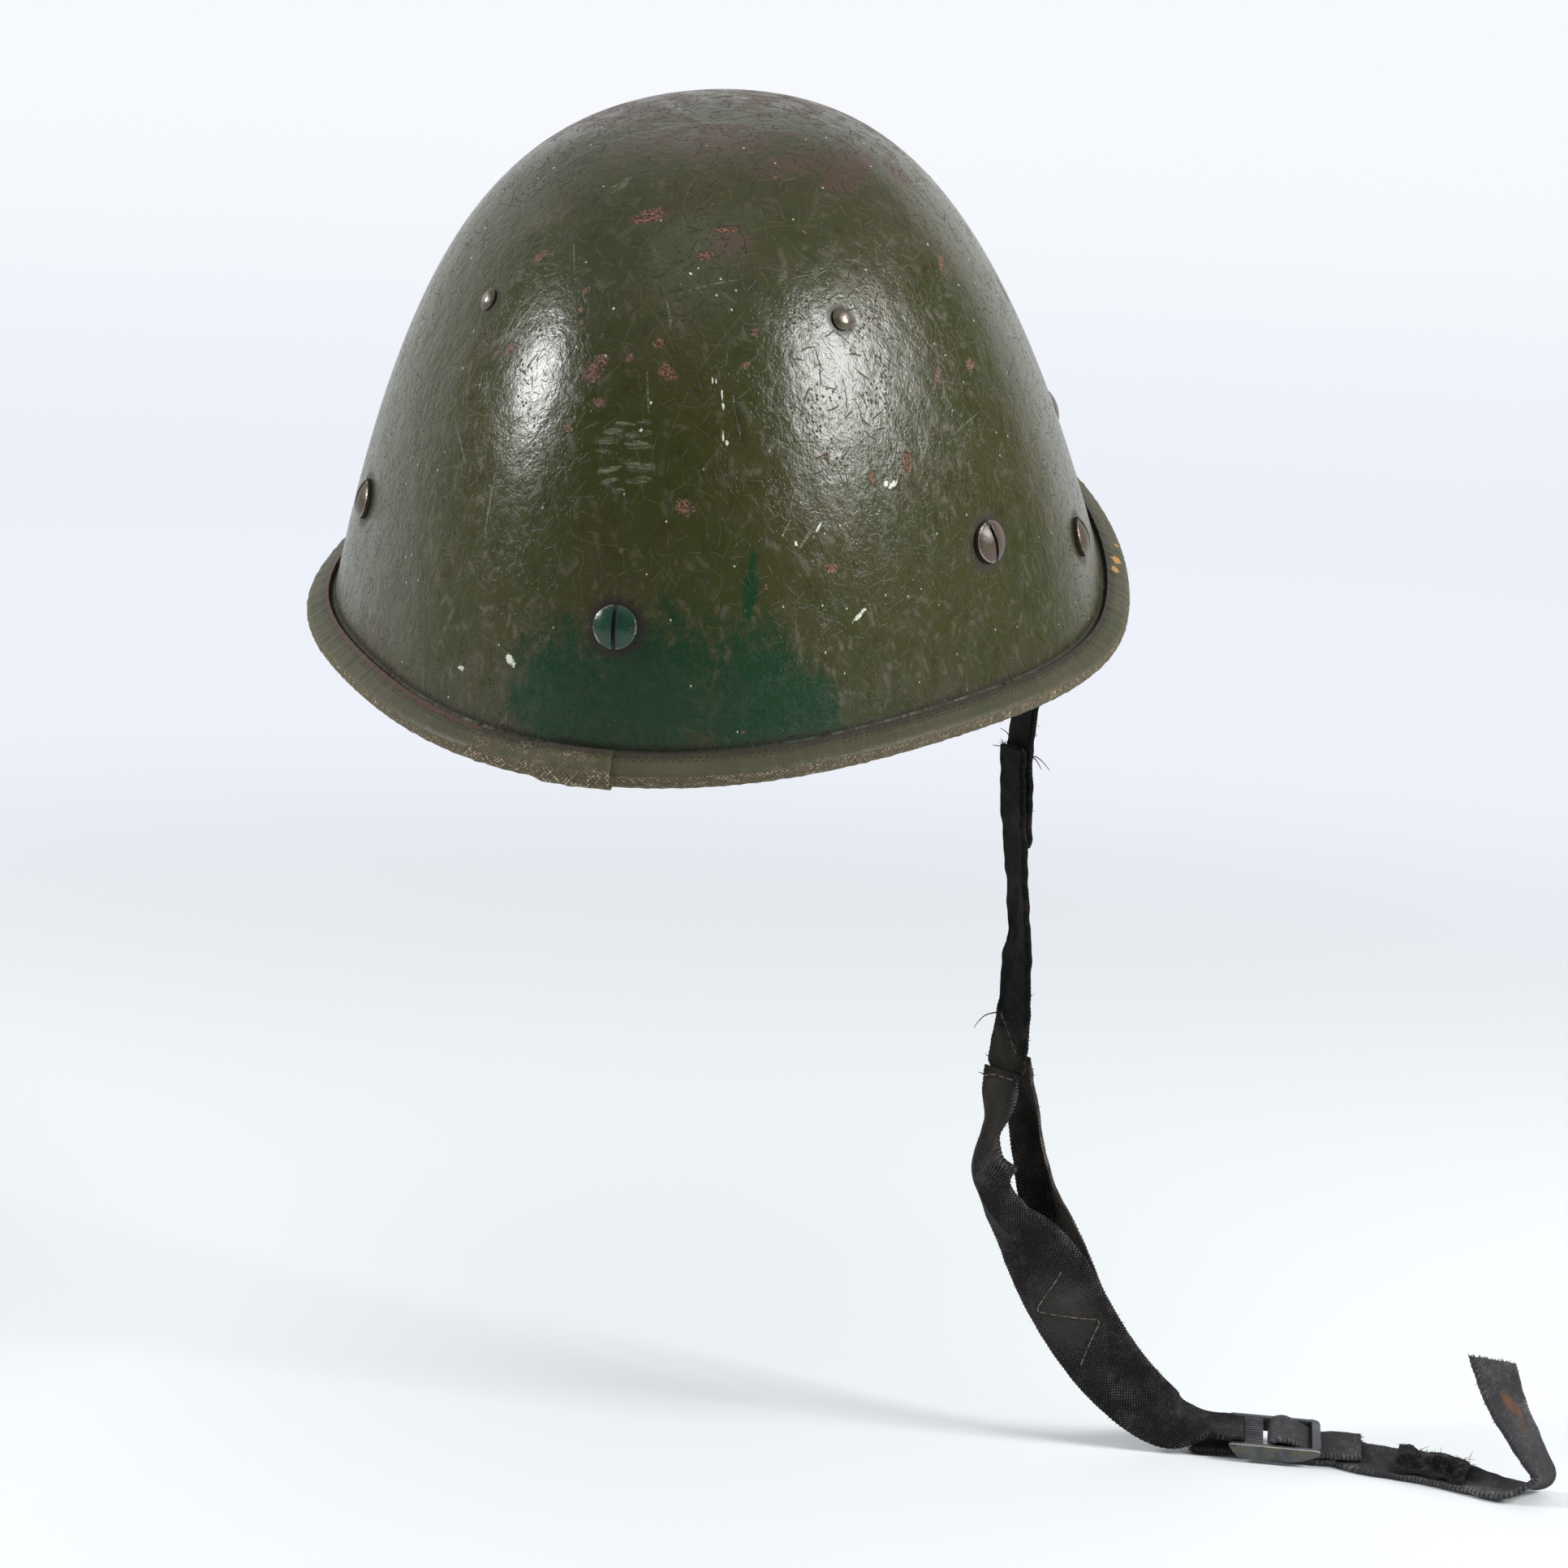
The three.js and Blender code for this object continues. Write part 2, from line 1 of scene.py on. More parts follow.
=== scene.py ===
# %% [markdown]
# # A worn fibre helmet and its hanging chin strap
#
# The frame that is loaded here already holds every piece at its real size and place. This lesson gives each
# of them the surface of the real object: old gloss paint over chopped fibres, a painted canvas edge, worn
# steel heads, and a dusty black strap that hangs down to a small buckle and curls at its end.
# Lengths are in metres, +Z is up, the front looks along -Y, and the wearer's left is +X.

# %% Load the frame
import json
import math

import bpy
import numpy as np
from mathutils import Matrix, Vector
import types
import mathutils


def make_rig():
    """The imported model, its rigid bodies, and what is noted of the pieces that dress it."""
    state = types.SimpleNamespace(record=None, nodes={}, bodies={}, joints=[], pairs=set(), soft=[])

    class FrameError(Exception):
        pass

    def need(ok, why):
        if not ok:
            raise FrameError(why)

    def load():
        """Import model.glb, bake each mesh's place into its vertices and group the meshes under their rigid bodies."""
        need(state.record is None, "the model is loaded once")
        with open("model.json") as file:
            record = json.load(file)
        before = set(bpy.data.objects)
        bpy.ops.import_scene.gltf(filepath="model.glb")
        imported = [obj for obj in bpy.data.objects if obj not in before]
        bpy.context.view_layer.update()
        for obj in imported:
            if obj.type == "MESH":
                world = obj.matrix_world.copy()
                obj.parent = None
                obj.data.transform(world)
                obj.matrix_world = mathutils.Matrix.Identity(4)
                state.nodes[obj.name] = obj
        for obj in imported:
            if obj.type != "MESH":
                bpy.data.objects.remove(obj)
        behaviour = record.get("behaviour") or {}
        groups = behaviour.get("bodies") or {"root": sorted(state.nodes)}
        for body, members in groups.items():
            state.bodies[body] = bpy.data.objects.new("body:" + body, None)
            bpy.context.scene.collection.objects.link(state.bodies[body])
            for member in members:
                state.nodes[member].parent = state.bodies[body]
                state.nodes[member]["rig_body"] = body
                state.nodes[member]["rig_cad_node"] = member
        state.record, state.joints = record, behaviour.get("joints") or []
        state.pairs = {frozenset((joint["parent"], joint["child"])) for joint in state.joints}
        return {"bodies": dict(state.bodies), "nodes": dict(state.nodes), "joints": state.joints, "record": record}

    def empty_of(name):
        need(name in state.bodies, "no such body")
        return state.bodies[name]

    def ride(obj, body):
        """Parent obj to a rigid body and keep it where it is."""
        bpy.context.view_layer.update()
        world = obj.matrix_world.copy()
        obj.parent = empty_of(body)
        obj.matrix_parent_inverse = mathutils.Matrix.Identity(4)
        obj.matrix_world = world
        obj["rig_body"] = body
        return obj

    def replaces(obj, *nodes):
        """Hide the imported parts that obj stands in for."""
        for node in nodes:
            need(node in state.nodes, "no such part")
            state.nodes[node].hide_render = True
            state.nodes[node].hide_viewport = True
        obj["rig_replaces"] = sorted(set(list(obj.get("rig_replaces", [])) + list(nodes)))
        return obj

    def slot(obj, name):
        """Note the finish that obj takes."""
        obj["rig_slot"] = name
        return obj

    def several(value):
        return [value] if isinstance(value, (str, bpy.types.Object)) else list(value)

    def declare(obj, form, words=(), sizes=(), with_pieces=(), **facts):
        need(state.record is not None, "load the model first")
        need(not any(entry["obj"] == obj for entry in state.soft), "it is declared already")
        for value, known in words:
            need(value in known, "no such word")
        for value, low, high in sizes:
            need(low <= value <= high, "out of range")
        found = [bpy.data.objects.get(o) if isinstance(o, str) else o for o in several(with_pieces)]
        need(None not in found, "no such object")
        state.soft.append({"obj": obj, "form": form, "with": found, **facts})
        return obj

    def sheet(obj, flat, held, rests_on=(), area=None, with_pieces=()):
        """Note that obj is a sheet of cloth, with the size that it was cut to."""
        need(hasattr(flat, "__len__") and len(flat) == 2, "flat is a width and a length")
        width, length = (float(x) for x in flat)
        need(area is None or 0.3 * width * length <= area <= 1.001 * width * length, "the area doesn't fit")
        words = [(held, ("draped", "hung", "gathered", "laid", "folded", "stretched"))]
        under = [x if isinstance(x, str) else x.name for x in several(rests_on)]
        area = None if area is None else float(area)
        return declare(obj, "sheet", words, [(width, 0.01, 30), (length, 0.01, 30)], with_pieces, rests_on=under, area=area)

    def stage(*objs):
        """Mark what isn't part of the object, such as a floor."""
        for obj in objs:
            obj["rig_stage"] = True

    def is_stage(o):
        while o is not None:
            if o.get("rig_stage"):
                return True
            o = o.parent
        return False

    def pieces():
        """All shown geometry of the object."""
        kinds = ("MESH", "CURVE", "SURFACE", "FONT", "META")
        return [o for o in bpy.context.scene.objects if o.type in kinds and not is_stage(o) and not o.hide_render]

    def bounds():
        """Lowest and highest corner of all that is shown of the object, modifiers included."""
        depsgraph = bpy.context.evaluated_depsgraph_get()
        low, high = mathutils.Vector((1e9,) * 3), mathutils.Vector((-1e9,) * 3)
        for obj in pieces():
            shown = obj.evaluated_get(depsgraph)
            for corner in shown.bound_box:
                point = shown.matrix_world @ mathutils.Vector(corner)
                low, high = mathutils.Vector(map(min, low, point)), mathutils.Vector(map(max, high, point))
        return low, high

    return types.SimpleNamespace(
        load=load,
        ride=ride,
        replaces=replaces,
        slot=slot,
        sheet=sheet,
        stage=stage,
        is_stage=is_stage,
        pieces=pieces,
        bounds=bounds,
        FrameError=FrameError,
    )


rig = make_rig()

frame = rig.load()
cad_box = [list(corner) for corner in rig.bounds()]
bpy.ops.object.select_all(action="DESELECT")
MM = 0.001
print("nodes in the frame:", len(frame["nodes"]))

# %% [markdown]
# ## The camera
# The photograph was taken from a little above the brim with a long lens. The helmet is turned towards the
# camera's right and leans by a few degrees, so the camera is placed in the room first, and then carried into
# the helmet's own frame. Aiming a camera by eye would also do, but a matrix keeps the view exact.

# %% Camera
PHOTO_WIDTH = 1932
FOCAL_PIXELS = 3967
SENSOR = 36
ROOM_FROM_HELMET = (
    Matrix.Translation(Vector((-21.0, 0, 75.54)) * MM)
    @ Matrix.Rotation(math.radians(-10.5), 4, "Z")
    @ Matrix.Rotation(math.radians(2.7), 4, "Y")
)
ROOM_FROM_CAMERA = (
    Matrix.Translation(Vector((0, -974.99, 181.59)) * MM)
    @ Matrix.Rotation(math.radians(90 - 10.55), 4, "X")
)

bpy.ops.object.camera_add()
camera = bpy.context.object
camera.name = "photo_camera"
camera.data.sensor_width = SENSOR
camera.data.lens = SENSOR * FOCAL_PIXELS / PHOTO_WIDTH
camera.matrix_world = ROOM_FROM_HELMET.inverted() @ ROOM_FROM_CAMERA
bpy.context.scene.camera = camera
print("camera at", [round(x, 3) for x in camera.matrix_world.translation], "lens", round(camera.data.lens, 2))

# %% [markdown]
# ## A value that can be added and multiplied
# A material is a tree of small nodes, and writing one node for each plus sign hides the idea behind it.
# `Value` wraps a node's output so that Python's own operators make the Math nodes, and `Finish` owns one
# material and adds every other kind of node through a single method.

# %% Shader helpers
class Value:
    """One output of a node. An operator on it adds a Math node."""

    def __init__(self, finish, socket):
        self.finish = finish
        self.socket = socket

    def other(self, name):
        return Value(self.finish, self.socket.node.outputs[name])

    def math(self, operation, *values):
        return self.finish.node("Math", {"operation": operation}, dict(enumerate(values)))

    def __add__(self, other):
        return self.math("ADD", self, other)

    def __sub__(self, other):
        return self.math("SUBTRACT", self, other)

    def __rsub__(self, other):
        return self.math("SUBTRACT", other, self)

    def __mul__(self, other):
        return self.math("MULTIPLY", self, other)

    def __abs__(self):
        return self.math("ABSOLUTE", self)

    __radd__ = __add__
    __rmul__ = __mul__

    def lower(self, other):
        return self.math("MINIMUM", self, other)

    def higher(self, other):
        return self.math("MAXIMUM", self, other)

    def under(self, limit):
        return self.math("LESS_THAN", self, limit)

    def wave(self):
        return self.math("SINE", self)

    def root(self):
        return self.math("SQRT", self)

    def swing(self, amount):
        """A noise, which lies round a half, made to swing to either side of zero."""
        return (self - 0.5) * amount

    def ramp(self, start, end):
        """0 before start, 1 after end, and a soft step between them; start may be the higher one."""
        span = {"From Min": start, "From Max": end, "Value": self}
        return self.finish.node("MapRange", {"interpolation_type": "SMOOTHSTEP"}, span)


class Finish:
    """One material, and the way to add a node to it."""

    def __init__(self, name, constants):
        self.material = bpy.data.materials.new(name)
        self.material.use_nodes = True
        self.nodes = self.material.node_tree.nodes
        self.links = self.material.node_tree.links
        self.surface = self.nodes["Principled BSDF"]
        self.colour = None
        self.give(constants)

    def give(self, values):
        for key, value in values.items():
            self.feed(self.surface.inputs[key], value)

    def feed(self, socket, value):
        if isinstance(value, Value):
            self.links.new(value.socket, socket)
        else:
            socket.default_value = value

    def node(self, kind, settings, values, out=0):
        made = self.nodes.new("ShaderNode" + kind)
        for key, value in settings.items():
            setattr(made, key, value)
        for key, value in values.items():
            self.feed(made.inputs[key], value)
        return Value(self, made.outputs[out])

    def map(self, name):
        return self.node("UVMap", {"uv_map": name}, {})

    def place(self):
        return self.node("TexCoord", {}, {}, "Object")

    def attribute(self, name):
        return self.node("Attribute", {"attribute_name": name}, {}, "Fac")

    def noise(self, at, size, detail=3.0, roughness=0.55):
        values = {"Vector": at, "Scale": 1 / size, "Detail": detail, "Roughness": roughness}
        return self.node("TexNoise", {}, values)

    def cells(self, at, size):
        """A flat pattern of random cells: how far each point is from the middle of its cell."""
        return self.node("TexVoronoi", {"voronoi_dimensions": "2D"}, {"Vector": at, "Scale": 1 / size})

    def chances(self, cells):
        """Three random numbers for each cell: this one, and its others named Green and Blue."""
        return self.node("SeparateColor", {}, {"Color": cells.other("Color")})

    def vector(self, operation, *values, out=0):
        return self.node("VectorMath", {"operation": operation}, dict(enumerate(values)), out)

    def reach(self, at):
        return self.vector("LENGTH", at, out="Value")

    def moved(self, at, offset=(0, 0, 0), turn=0.0, size=(1, 1, 1)):
        """Coordinates round a centre, turned, and measured in units of size."""
        values = {"Vector": at, "Location": offset, "Rotation": (0, 0, turn), "Scale": size}
        return self.node("Mapping", {"vector_type": "TEXTURE"}, values)

    def parts(self, at):
        x = self.node("SeparateXYZ", {}, {"Vector": at})
        return x, x.other("Y")

    def mix(self, amount, below, above):
        values = {0: amount, 6: below, 7: above}
        return self.node("Mix", {"data_type": "RGBA"}, values, 2)

    def coat(self, amount, colour):
        """Lays a colour over the ones that are there already."""
        self.colour = self.mix(amount, self.colour, colour)

    def relief(self, height):
        """Feeds a height in millimetres to the surface as a bump."""
        values = {"Distance": MM, "Height": height}
        self.give({"Normal": self.node("Bump", {}, values)})


def srgb(red, green, blue):
    """A colour as it is read off a screen, from 0 to 255, made linear for a shader."""
    def linear(level):
        share = level / 255
        return share / 12.92 if share <= 0.04045 else ((share + 0.055) / 1.055) ** 2.4
    return (linear(red), linear(green), linear(blue), 1.0)


print("an olive in linear light:", [round(x, 3) for x in srgb(62, 62, 40)])

# %% [markdown]
# ## Handling meshes
# Operators work on what is selected, in edit mode or out of it. These small helpers select one piece, read
# and write its points as an array, and give it a flat map of its own for the patterns that follow its
# surface.

# %% Mesh helpers
def take(piece):
    bpy.ops.object.select_all(action="DESELECT")
    piece.select_set(True)
    bpy.context.view_layer.objects.active = piece


def edit(piece, picks="VERT"):
    take(piece)
    bpy.ops.object.mode_set(mode="EDIT")
    bpy.ops.mesh.select_mode(type=picks)


def leave():
    bpy.ops.object.mode_set(mode="OBJECT")


def named(name):
    piece = bpy.context.object
    piece.name = name
    piece.data.name = name
    return piece


def points_of(piece):
    flat = np.empty(3 * len(piece.data.vertices))
    piece.data.vertices.foreach_get("co", flat)
    return flat.reshape(-1, 3)


def put_points(piece, points):
    piece.data.vertices.foreach_set("co", np.asarray(points, float).ravel())
    piece.data.update()


def picked(piece):
    chosen = np.empty(len(piece.data.vertices), bool)
    piece.data.vertices.foreach_get("select", chosen)
    return chosen


def lay_map(piece, name, places):
    """A UV map from one place for each vertex."""
    while piece.data.uv_layers:
        piece.data.uv_layers.remove(piece.data.uv_layers[0])
    corners = np.empty(len(piece.data.loops), np.int32)
    piece.data.loops.foreach_get("vertex_index", corners)
    layer = piece.data.uv_layers.new(name=name)
    layer.data.foreach_set("uv", np.asarray(places, np.float32)[corners].ravel())


def keep(piece, name, values):
    """Stores one number for each vertex."""
    piece.data.attributes.new(name, "FLOAT", "POINT").data.foreach_set("value", values)


def kept(piece, name):
    values = np.empty(len(piece.data.vertices))
    piece.data.attributes[name].data.foreach_get("value", values)
    return values


def pick_open_edge():
    """Picks the edges that have a face on one side only."""
    bpy.ops.mesh.select_all(action="DESELECT")
    bpy.ops.mesh.select_non_manifold(
        use_wire=False, use_multi_face=False, use_non_contiguous=False, use_verts=False
    )


def extrude_edges(rise=0.0, wider=1.0):
    """Draws the picked ring of edges up or down, and scales the new ring."""
    bpy.ops.mesh.extrude_edges_move(TRANSFORM_OT_translate={"value": (0, 0, rise)})
    bpy.ops.transform.resize(value=(wider, wider, 1))


def finish_modifiers(piece):
    take(piece)
    for modifier in list(piece.modifiers):
        bpy.ops.object.modifier_apply(modifier=modifier.name)


def soften(piece, width, segments, limit=30):
    """Rounds the edges of a piece that turn by more than the limit, in degrees."""
    bevel = piece.modifiers.new("soften", "BEVEL")
    bevel.width = width
    bevel.segments = segments
    bevel.angle_limit = math.radians(limit)
    finish_modifiers(piece)


def face_outwards(piece):
    edit(piece)
    bpy.ops.mesh.select_all(action="SELECT")
    bpy.ops.mesh.normals_make_consistent(inside=False)
    leave()


def close_up(piece, gap=1e-6):
    """Merges what coincides, fills open ends and turns the faces outwards."""
    edit(piece)
    bpy.ops.mesh.select_all(action="SELECT")
    bpy.ops.mesh.remove_doubles(threshold=gap)
    bpy.ops.mesh.fill_holes(sides=0)
    leave()
    face_outwards(piece)


def settle(piece, material, slot, *nodes, smooth=40):
    """Gives a finished piece its material, its slot and its place in the frame."""
    take(piece)
    bpy.ops.object.shade_smooth_by_angle(angle=math.radians(smooth))
    piece.data.materials.clear()
    piece.data.materials.append(material)
    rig.ride(piece, "root")
    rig.slot(piece, slot)
    if nodes:
        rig.replaces(piece, *nodes)
    print(piece.name, "faces:", len(piece.data.polygons))
    return piece


# %% [markdown]
# ## The studio
# The helmet stood in front of a pale backdrop on a white table, between two softboxes that show as two
# glints on the front. Gloss paint mirrors the whole room: the walls of the helmet show the bright paper
# behind it, and its front shows the darker side of the room, where the camera stood. A floor disc whose edge
# sweeps up into a wall gives both, with paper that glows behind and is dim in front, and has no horizon.

# %% Floor and backdrop
SURFACE = -0.284
FLOOR_RADIUS, FLOOR_SIDES = 2.2, 96
SWEEP = 0.9
SWEEP_STEPS = 12
WALL_TOP = 1.6

bpy.ops.mesh.primitive_circle_add(
    vertices=FLOOR_SIDES, radius=FLOOR_RADIUS, fill_type="NGON", location=(0, 0, SURFACE)
)
backdrop = named("backdrop")
bpy.ops.object.transform_apply(location=True)
edit(backdrop, "EDGE")
for step in range(SWEEP_STEPS + 1):
    here, there = (math.pi / 2 * min(k, SWEEP_STEPS) / SWEEP_STEPS for k in (step, step + 1))
    grown = FLOOR_RADIUS + SWEEP * math.sin(here)
    wider = (FLOOR_RADIUS + SWEEP * math.sin(there)) / grown
    rise = SWEEP * (math.cos(here) - math.cos(there)) if step < SWEEP_STEPS else WALL_TOP
    pick_open_edge()
    extrude_edges(rise, wider)
leave()
bpy.ops.object.shade_smooth()

BLACK, TABLE_WHITE = (0, 0, 0, 1), srgb(234, 238, 238)
BACK_PAPER, BACK_LOW, ROOM_SIDE = srgb(247, 249, 253), srgb(236, 239, 247), srgb(104, 106, 112)
LEFT_EDGE, RIGHT_EDGE = math.radians(-115), math.radians(133)
tent = Finish("studio_paper", {"Roughness": 0.9, "Specular IOR Level": 0.1, "Emission Strength": 1.0})
x, y = tent.parts(tent.place())
rise = x.other("Z") - SURFACE
wall = rise.ramp(0.0, 0.6)
far = (x * x + y * y).root().ramp(0.45, 1.25)
past_left = x * -math.cos(LEFT_EDGE) - y * math.sin(LEFT_EDGE)
past_right = x * math.cos(RIGHT_EDGE) + y * math.sin(RIGHT_EDGE)
behind = past_left.lower(past_right).ramp(-0.25, 0.25) * far
paper = tent.mix(rise.ramp(0.0, 0.45), BACK_LOW, BACK_PAPER)
tent.give({
    "Base Color": tent.mix(wall.higher(behind), TABLE_WHITE, BLACK),
    "Emission Color": tent.mix(behind, tent.mix(wall, BLACK, ROOM_SIDE), paper),
})
backdrop.data.materials.append(tent.material)
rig.stage(backdrop)
print("backdrop faces:", len(backdrop.data.polygons))

# %% Softboxes
def softbox(name, towards, distance, size, watts):
    """An area light that faces the dome from a direction."""
    middle = Vector((0, 0, 0.04))
    place = middle + Vector(towards).normalized() * distance
    bpy.ops.object.light_add(type="AREA", location=place)
    light = bpy.context.object
    light.name = name
    light.rotation_euler = (place - middle).to_track_quat("Z", "Y").to_euler()
    light.data.shape = "RECTANGLE"
    light.data.size, light.data.size_y = size
    light.data.energy = watts
    return light


softbox("softbox_left", (-0.88, -0.30, 0.36), 1.5, (0.40, 0.34), 15)
softbox("softbox_right", (0.90, -0.15, 0.42), 1.5, (0.42, 0.56), 20)
softbox("softbox_above", (0.1, -0.35, 1.0), 1.7, (1.2, 1.2), 3)

bpy.context.scene.world = bpy.data.worlds.new("studio_air")
bpy.context.scene.world.use_nodes = True
air = bpy.context.scene.world.node_tree.nodes["Background"]
air.inputs["Color"].default_value = srgb(243, 244, 252)
air.inputs["Strength"].default_value = 0.5
bpy.context.scene.view_settings.view_transform = "Standard"
print("lights:", [o.name for o in bpy.data.objects if o.type == "LIGHT"])

# %% [markdown]
# ## The shell
# The real shell is one pressing: a dome that is flatter on the crown than at its walls, with slightly
# drawn-in front corners and a flared rim. A lathe can't make it, because its plan isn't round. So half a
# sphere is cut out of a whole one, its points are moved onto the dome's formula, and the rim and the inner
# wall are grown from its edge one ring at a time, as one would extrude them by hand.

# %% The dome's formula
LEAN = Matrix.Rotation(math.radians(18.3), 4, "X")
FRONT_LENGTH, BACK_LENGTH, HALF_WIDTH = 0.136, 0.142, 0.117
FRONT_PINCH = 0.075
CROWN_HEIGHT = 0.130
DOME_POWER = 3.06
EAR_DROP = 0.0137
SHELL_WALL = 0.006
RIM_SLOPE = math.radians(28)
RIM_REACH, RIM_THICKNESS, RIM_UNDERCUT = 0.0078, 0.0026, 0.0046


def plan_radius(turn):
    front = np.cos(turn) > 0
    length = np.where(front, FRONT_LENGTH, BACK_LENGTH)
    pinch = np.where(front, FRONT_PINCH * np.sin(2 * turn) ** 2, 0)
    return (1 - pinch) / np.hypot(np.cos(turn) / length, np.sin(turn) / HALF_WIDTH)


def root_height(turn):
    return EAR_DROP * (np.cos(2 * turn) - 1) / 2


def shell_point(turn, share):
    """Points of the outer surface: turn from the front towards +X, share from the crown to the root."""
    radius = plan_radius(turn) * share
    root = root_height(turn)
    z = root + (CROWN_HEIGHT - root) * (1 - share ** DOME_POWER)
    return np.stack([radius * np.sin(turn), -radius * np.cos(turn), z], axis=-1)


def unit(vectors):
    return vectors / np.linalg.norm(vectors, axis=-1, keepdims=True)


def shell_normal(turn, share):
    step = 1e-4
    share = np.maximum(share, 2 * step)
    round_it = shell_point(turn + step, share) - shell_point(turn - step, share)
    down = shell_point(turn, share + step) - shell_point(turn, share - step)
    return unit(np.cross(down, round_it))


def rim_point(turn, along, lift):
    """Points of the flared rim: along runs down it from its root, lift stands off its top face."""
    step = 1e-4
    round_it = shell_point(turn + step, 1.0) - shell_point(turn - step, 1.0)
    out = unit(np.stack([round_it[..., 1], -round_it[..., 0], 0 * turn], axis=-1))
    reach = along * math.cos(RIM_SLOPE) + lift * math.sin(RIM_SLOPE)
    rise = -along * math.sin(RIM_SLOPE) + lift * math.cos(RIM_SLOPE)
    up = np.stack([0 * turn, 0 * turn, rise + 0 * turn], axis=-1)
    return shell_point(turn, 1.0) + out * np.asarray(reach + 0 * turn)[..., None] + up


def share_at(turn, height):
    root = root_height(turn)
    return (1 - (height - root) / (CROWN_HEIGHT - root)) ** (1 / DOME_POWER)


def drop_along(turn, share, steps=48):
    """Length over the surface from the crown down to a share."""
    parts = np.linspace(0, 1, steps + 1)[:, None] * np.ravel(share)
    path = shell_point(np.ravel(turn) + 0 * parts, parts)
    return np.linalg.norm(np.diff(path, axis=0), axis=-1).sum(axis=0)


def walked_along(points):
    """Length from the first of some points to each of them."""
    return np.concatenate([[0], np.cumsum(np.linalg.norm(np.diff(points, axis=0), axis=1))])


def eased(share):
    return share * share * (3 - 2 * share)


def spot_on_shell(turn, height):
    """Turn in radians and share of one place, from degrees and millimetres over the rim's root."""
    facing = np.array([math.radians(turn)])
    return facing, share_at(facing, np.array([height * MM]))


def leaned(points):
    return points @ np.array(LEAN.to_3x3()).T


print("front wall, root to crown:", round(float(drop_along(np.array([0.0]), np.array([1.0]))[0]), 3), "m")

# %% Shape the shell
SHELL_SEGMENTS, SHELL_RINGS, INNER_RINGS = 240, 120, 28
RING_CROWDING = 0.8
INNER_EDGE = 0.99
TIP_STEPS = 6

bpy.ops.mesh.primitive_uv_sphere_add(segments=SHELL_SEGMENTS, ring_count=SHELL_RINGS, radius=1)
shell = named("helmet_shell")
edit(shell)
bpy.ops.mesh.select_all(action="SELECT")
bpy.ops.mesh.bisect(plane_co=(0, 0, 0), plane_no=(0, 0, 1), clear_inner=True, threshold=1e-5)
leave()

ball = points_of(shell)
turns = np.arctan2(ball[:, 0], -ball[:, 1])
shares = np.minimum(np.hypot(ball[:, 0], ball[:, 1]), 1.0) ** RING_CROWDING
put_points(shell, shell_point(turns, shares))
keep(shell, "turn", turns)
keep(shell, "drop", drop_along(turns, shares))


def rim_tip(stand_off, steps):
    """(along, lift) of the rounded tip, or of a layer that stands off it."""
    radius = RIM_THICKNESS / 2 + stand_off
    bends = [math.pi * i / steps for i in range(steps + 1)]
    return [(RIM_REACH + radius * math.sin(b), radius * math.cos(b) - RIM_THICKNESS / 2) for b in bends]


def grow(piece, place):
    """Extrudes the picked ring of edges and moves the new ring to place(turn)."""
    bpy.ops.object.mode_set(mode="EDIT")
    extrude_edges()
    leave()
    ring = picked(piece)
    points = points_of(piece)
    points[ring] = place(kept(piece, "turn")[ring])
    put_points(piece, points)


def inner_point(turn, share):
    """Points of the inner wall, one wall's thickness under the outer surface."""
    share = share + 0 * turn
    return shell_point(turn, share) - SHELL_WALL * shell_normal(turn, share)


edit(shell, "EDGE")
pick_open_edge()
leave()
outer_count = len(shell.data.vertices)
rim_path = [(RIM_REACH * k / 3, 0.0) for k in (1, 2)]
rim_path += rim_tip(0, TIP_STEPS)
rim_path += [(-RIM_UNDERCUT, -RIM_THICKNESS)]
for along, lift in rim_path:
    grow(shell, lambda turn: rim_point(turn, along, lift))
rim_count = len(shell.data.vertices)
for ring in range(INNER_RINGS, -1, -1):
    share = INNER_EDGE * math.sin(math.pi / 2 * ring / INNER_RINGS) ** RING_CROWDING
    grow(shell, lambda turn: inner_point(turn, share))
print("shell vertices: dome", outer_count, "rim", rim_count - outer_count, "all", len(shell.data.vertices))

# %% [markdown]
# A pattern that follows the surface needs a flat map. The dome is unrolled from its crown like a globe seen
# over the pole: a point lies as far from the middle as it is down the wall, in the direction that it faces.
# That keeps scratches and chips at their real size near the top, and only squeezes them a little at the rim.
# Each point also keeps two numbers for the paint: whether it is inside, and how near it is to the rim's root,
# where dirt gathers and shade is painted into the corner.

# %% Map, lean and close the shell
def crown_map(turn, drop):
    return np.stack([drop * np.sin(turn), -drop * np.cos(turn)], axis=-1)


ROOT_DIRT_AND_SHADE = 0.0045
held_turn = kept(shell, "turn")
held_drop = kept(shell, "drop")
inside = np.zeros(len(held_turn))
inside[rim_count:] = 1
keep(shell, "inside", inside)
to_root = drop_along(held_turn, np.ones(len(held_turn))) - held_drop
root = np.clip(1 - to_root / ROOT_DIRT_AND_SHADE, 0, 1)
root[outer_count:rim_count] = 1
keep(shell, "root", root)
lay_map(shell, "crown_map", crown_map(held_turn, held_drop))
put_points(shell, leaned(points_of(shell)))
close_up(shell)
print("shell faces:", len(shell.data.polygons))

# %% [markdown]
# ## Old paint over fibres
# Several coats of olive paint lie over pressed fibres, so the gloss is broken by fine cracks and flakes.
# Knocks have gone through to a reddish coat, the crown is rubbed brown, and a darker green was brushed over
# the front edge. A painted picture of all that can't be used here, so each kind of mark is drawn by its
# own nodes: random short strokes for scratches and fibres, and turned ovals with ragged edges for the marks
# that have a known place.

